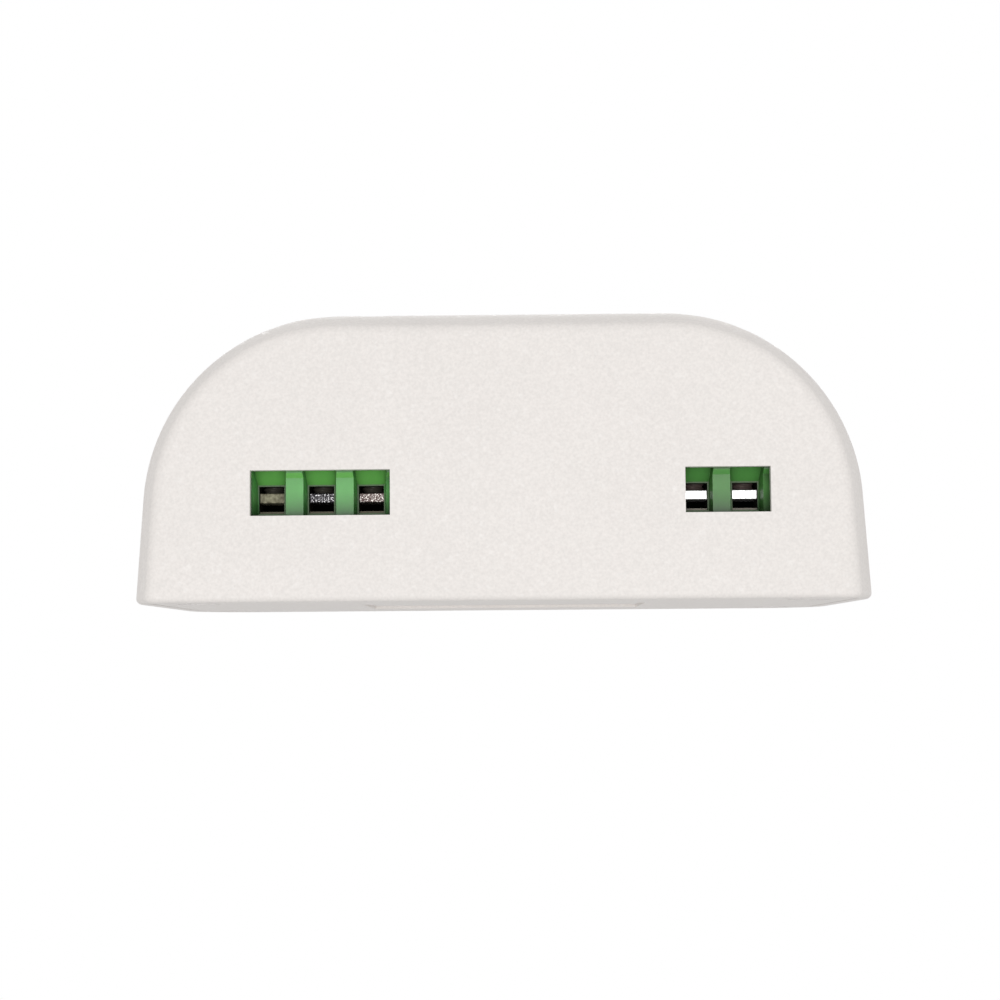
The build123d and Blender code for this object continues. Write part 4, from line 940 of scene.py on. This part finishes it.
def wound_sleeve(node, bore_share, pitch):
    """A coil where the CAD has a plain sleeve. The bore is given as a share of the outside."""
    low, high, axis, outside = round_piece(node)
    bore = outside * bore_share
    skin = stack(low.z, high.z, pitch / ROWS_PER_LEAD, outside, pitch * WIRE_DIP_SHARE)
    coil = lathe(
        f"{node}_wound", axis, [(bore, low.z, 0), *skin, (bore, high.z, 0)],
        lead=pitch, ripple=wire_ripple, ring=True,
    )
    shade_smooth(coil, 60)
    coil.data.materials.append(finishes["copper_wire"])
    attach(coil, "root")
    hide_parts(node)
    return coil


for node, bore_share, pitch in (
    ("relay_winding", RELAY_BORE_SHARE, RELAY_WIRE_PITCH),
    ("choke_winding", CHOKE_BORE_SHARE, CHOKE_WIRE_PITCH),
):
    coil = wound_sleeve(node, bore_share, pitch)
    print(coil.name, len(coil.data.polygons), "faces")

# %% [markdown]
# ## Printed outlines
# Before the parts go on, their outlines are printed on the board in white, so that the fitter knows
# where each one sits. The print is a few hundredths of a millimetre of ink, so it is made of flat
# bars just above the lacquer: four round a square part, and a turned ring round a round one.

# %% Print the outlines
INK_WIDTH = 0.15 * MM
INK_HEIGHT = 0.02 * MM
INK_GAP = 0.3 * MM
white_ink = moulding("white_ink", sampled(232, 232, 226), 0.5, 0.2 * MM, 0.004 * MM, change=0.3)
board_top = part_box("circuit_board")[1].z


def print_on_board(outline):
    """Ink belongs to the board and never moves."""
    outline.data.materials.append(white_ink)
    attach(outline, "root")
    print(outline.name, len(outline.data.polygons), "faces")


ink = bmesh.new()
for node in (
    "relay_base", "surge_varistor", "transformer_bobbin", "bridge_rectifier", "converter_chip", "radio_board",
    "switch_body", "header_body", "voltage_regulator", "output_diode",
):
    low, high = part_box(node)
    left, right = low.x - INK_GAP, high.x + INK_GAP
    front, back = low.y - INK_GAP, high.y + INK_GAP
    for x in (left, right):
        add_box(ink, (x - INK_WIDTH / 2, front, board_top), (x + INK_WIDTH / 2, back, board_top + INK_HEIGHT))
    for y in (front, back):
        add_box(ink, (left, y - INK_WIDTH / 2, board_top), (right, y + INK_WIDTH / 2, board_top + INK_HEIGHT))
print_on_board(finish_mesh("ink_bars", ink))
for node in ("mains_fuse", "choke_core", "bulk_capacitor", "output_capacitor"):
    axis, radius = round_piece(node)[2:]
    inner = radius + INK_GAP
    ring = [
        (inner, board_top, 0), (inner + INK_WIDTH, board_top, 0),
        (inner + INK_WIDTH, board_top + INK_HEIGHT, 0), (inner, board_top + INK_HEIGHT, 0),
    ]
    print_on_board(lathe(f"ink_ring_{node}", axis, ring, ring=True))

# %% [markdown]
# ## Camera
# The photograph was taken from straight in front and from a little below the foot of the case, which
# is why a thin strip of the underside shows. The lens is long enough to keep the sides nearly straight.

# %% Look at the case from the front
camera_place = Vector((2.3, -222.0, -5.5)) * MM
look_up, tilt, turn = radians(4.44), radians(0.44), radians(0.71)
camera_data = bpy.data.cameras.new("camera")
camera_data.lens = 72.2
camera_data.sensor_width = 36.0
camera = bpy.data.objects.new("camera", camera_data)
camera.matrix_world = (
    Matrix.Translation(camera_place)
    @ Matrix.Rotation(turn, 4, "Z")
    @ Matrix.Rotation(look_up, 4, "X")
    @ Matrix.Rotation(tilt, 4, "Y")
    @ Matrix.Rotation(pi / 2, 4, "X")
)
bpy.context.scene.collection.objects.link(camera)
bpy.context.scene.camera = camera
print("camera at", [round(value / MM, 1) for value in camera.location])

# %% [markdown]
# ## Floor and light
# A pale floor holds the shadow. Its underside is clear, because the camera looks up from below it,
# and it throws neither light nor shade on the case, so the underside stays lit as in the photograph.

# %% Floor
floor_mesh = bpy.data.meshes.new("floor")
reach = 3000 * MM
drop = -0.05 * MM
corners = [(-reach, -reach, drop), (reach, -reach, drop), (reach, reach, drop), (-reach, reach, drop)]
floor_mesh.from_pydata(corners, [], [(0, 1, 2, 3)])
floor = bpy.data.objects.new("floor", floor_mesh)
bpy.context.scene.collection.objects.link(floor)
floor.visible_diffuse = False
floor.visible_glossy = False
floor.visible_transmission = False
floor.visible_shadow = False

material, tree, shader = new_material("floor", Base_Color=(0.8, 0.8, 0.8, 1), Roughness=0.9)
below = put(tree, "NewGeometry").outputs["Backfacing"]
clear = put(tree, "BsdfTransparent").outputs[0]
either = put(tree, "MixShader", {0: below, 1: shader.outputs[0], 2: clear})
tree.links.new(either.outputs[0], tree.nodes["Material Output"].inputs["Surface"])
floor_mesh.materials.append(material)
print("floor", 2 * reach, "m wide")

# %% [markdown]
# The world is white where the camera, a mirror or clear plastic looks at it, and softer as a lamp.
# One large soft lamp stands in front, so the front of the case is its brightest side. Its twin stands
# behind the case and keeps the back from looking grey, but hardly touches what the camera sees here.
# The Standard view leaves colours as they are written.

# %% World
LIGHT_FROM_BELOW = 0.57
LIGHT_FROM_ABOVE = 0.65
world = bpy.data.worlds.new("world")
bpy.context.scene.world = world
world.use_nodes = True
tree = world.node_tree
ray = put(tree, "LightPath").outputs
mirrored = calc(tree, "MAXIMUM", ray["Is Glossy Ray"], ray["Is Transmission Ray"])
seen = calc(tree, "MAXIMUM", ray["Is Camera Ray"], mirrored)
height = put(tree, "SeparateXYZ", {"Vector": put(tree, "TexCoord").outputs["Generated"]}).outputs["Z"]
soft = ramp(tree, height, -0.6, 0.0, LIGHT_FROM_BELOW, LIGHT_FROM_ABOVE)
strength = ramp(tree, seen, 0.0, 1.0, first=soft)
background = tree.nodes["Background"]
background.inputs["Color"].default_value = (1, 1, 1, 1)
tree.links.new(strength, background.inputs["Strength"])
print("world lights with", LIGHT_FROM_BELOW, "from below and", LIGHT_FROM_ABOVE, "from above")

# %% Lamps
PANEL_WIDTH = 0.5
PANEL_HEIGHT = 0.4
LIT_PLACE = Vector((0, 0, 0.01))


def soft_lamp(name, place, power):
    """A large panel that faces the case and is never seen itself. Sizes and places are in metres."""
    data = bpy.data.lights.new(name, "AREA")
    data.shape = "RECTANGLE"
    data.size = PANEL_WIDTH
    data.size_y = PANEL_HEIGHT
    data.energy = power
    lamp = bpy.data.objects.new(name, data)
    lamp.location = place
    lamp.rotation_euler = (LIT_PLACE - lamp.location).to_track_quat("-Z", "Y").to_euler()
    lamp.visible_camera = False
    bpy.context.scene.collection.objects.link(lamp)
    print(name, power, "W")


soft_lamp("front lamp", (0, -0.8, -0.06), 2.42)
soft_lamp("back lamp", (0, 0.76, 0.28), 2.0)
bpy.context.scene.view_settings.view_transform = "Standard"
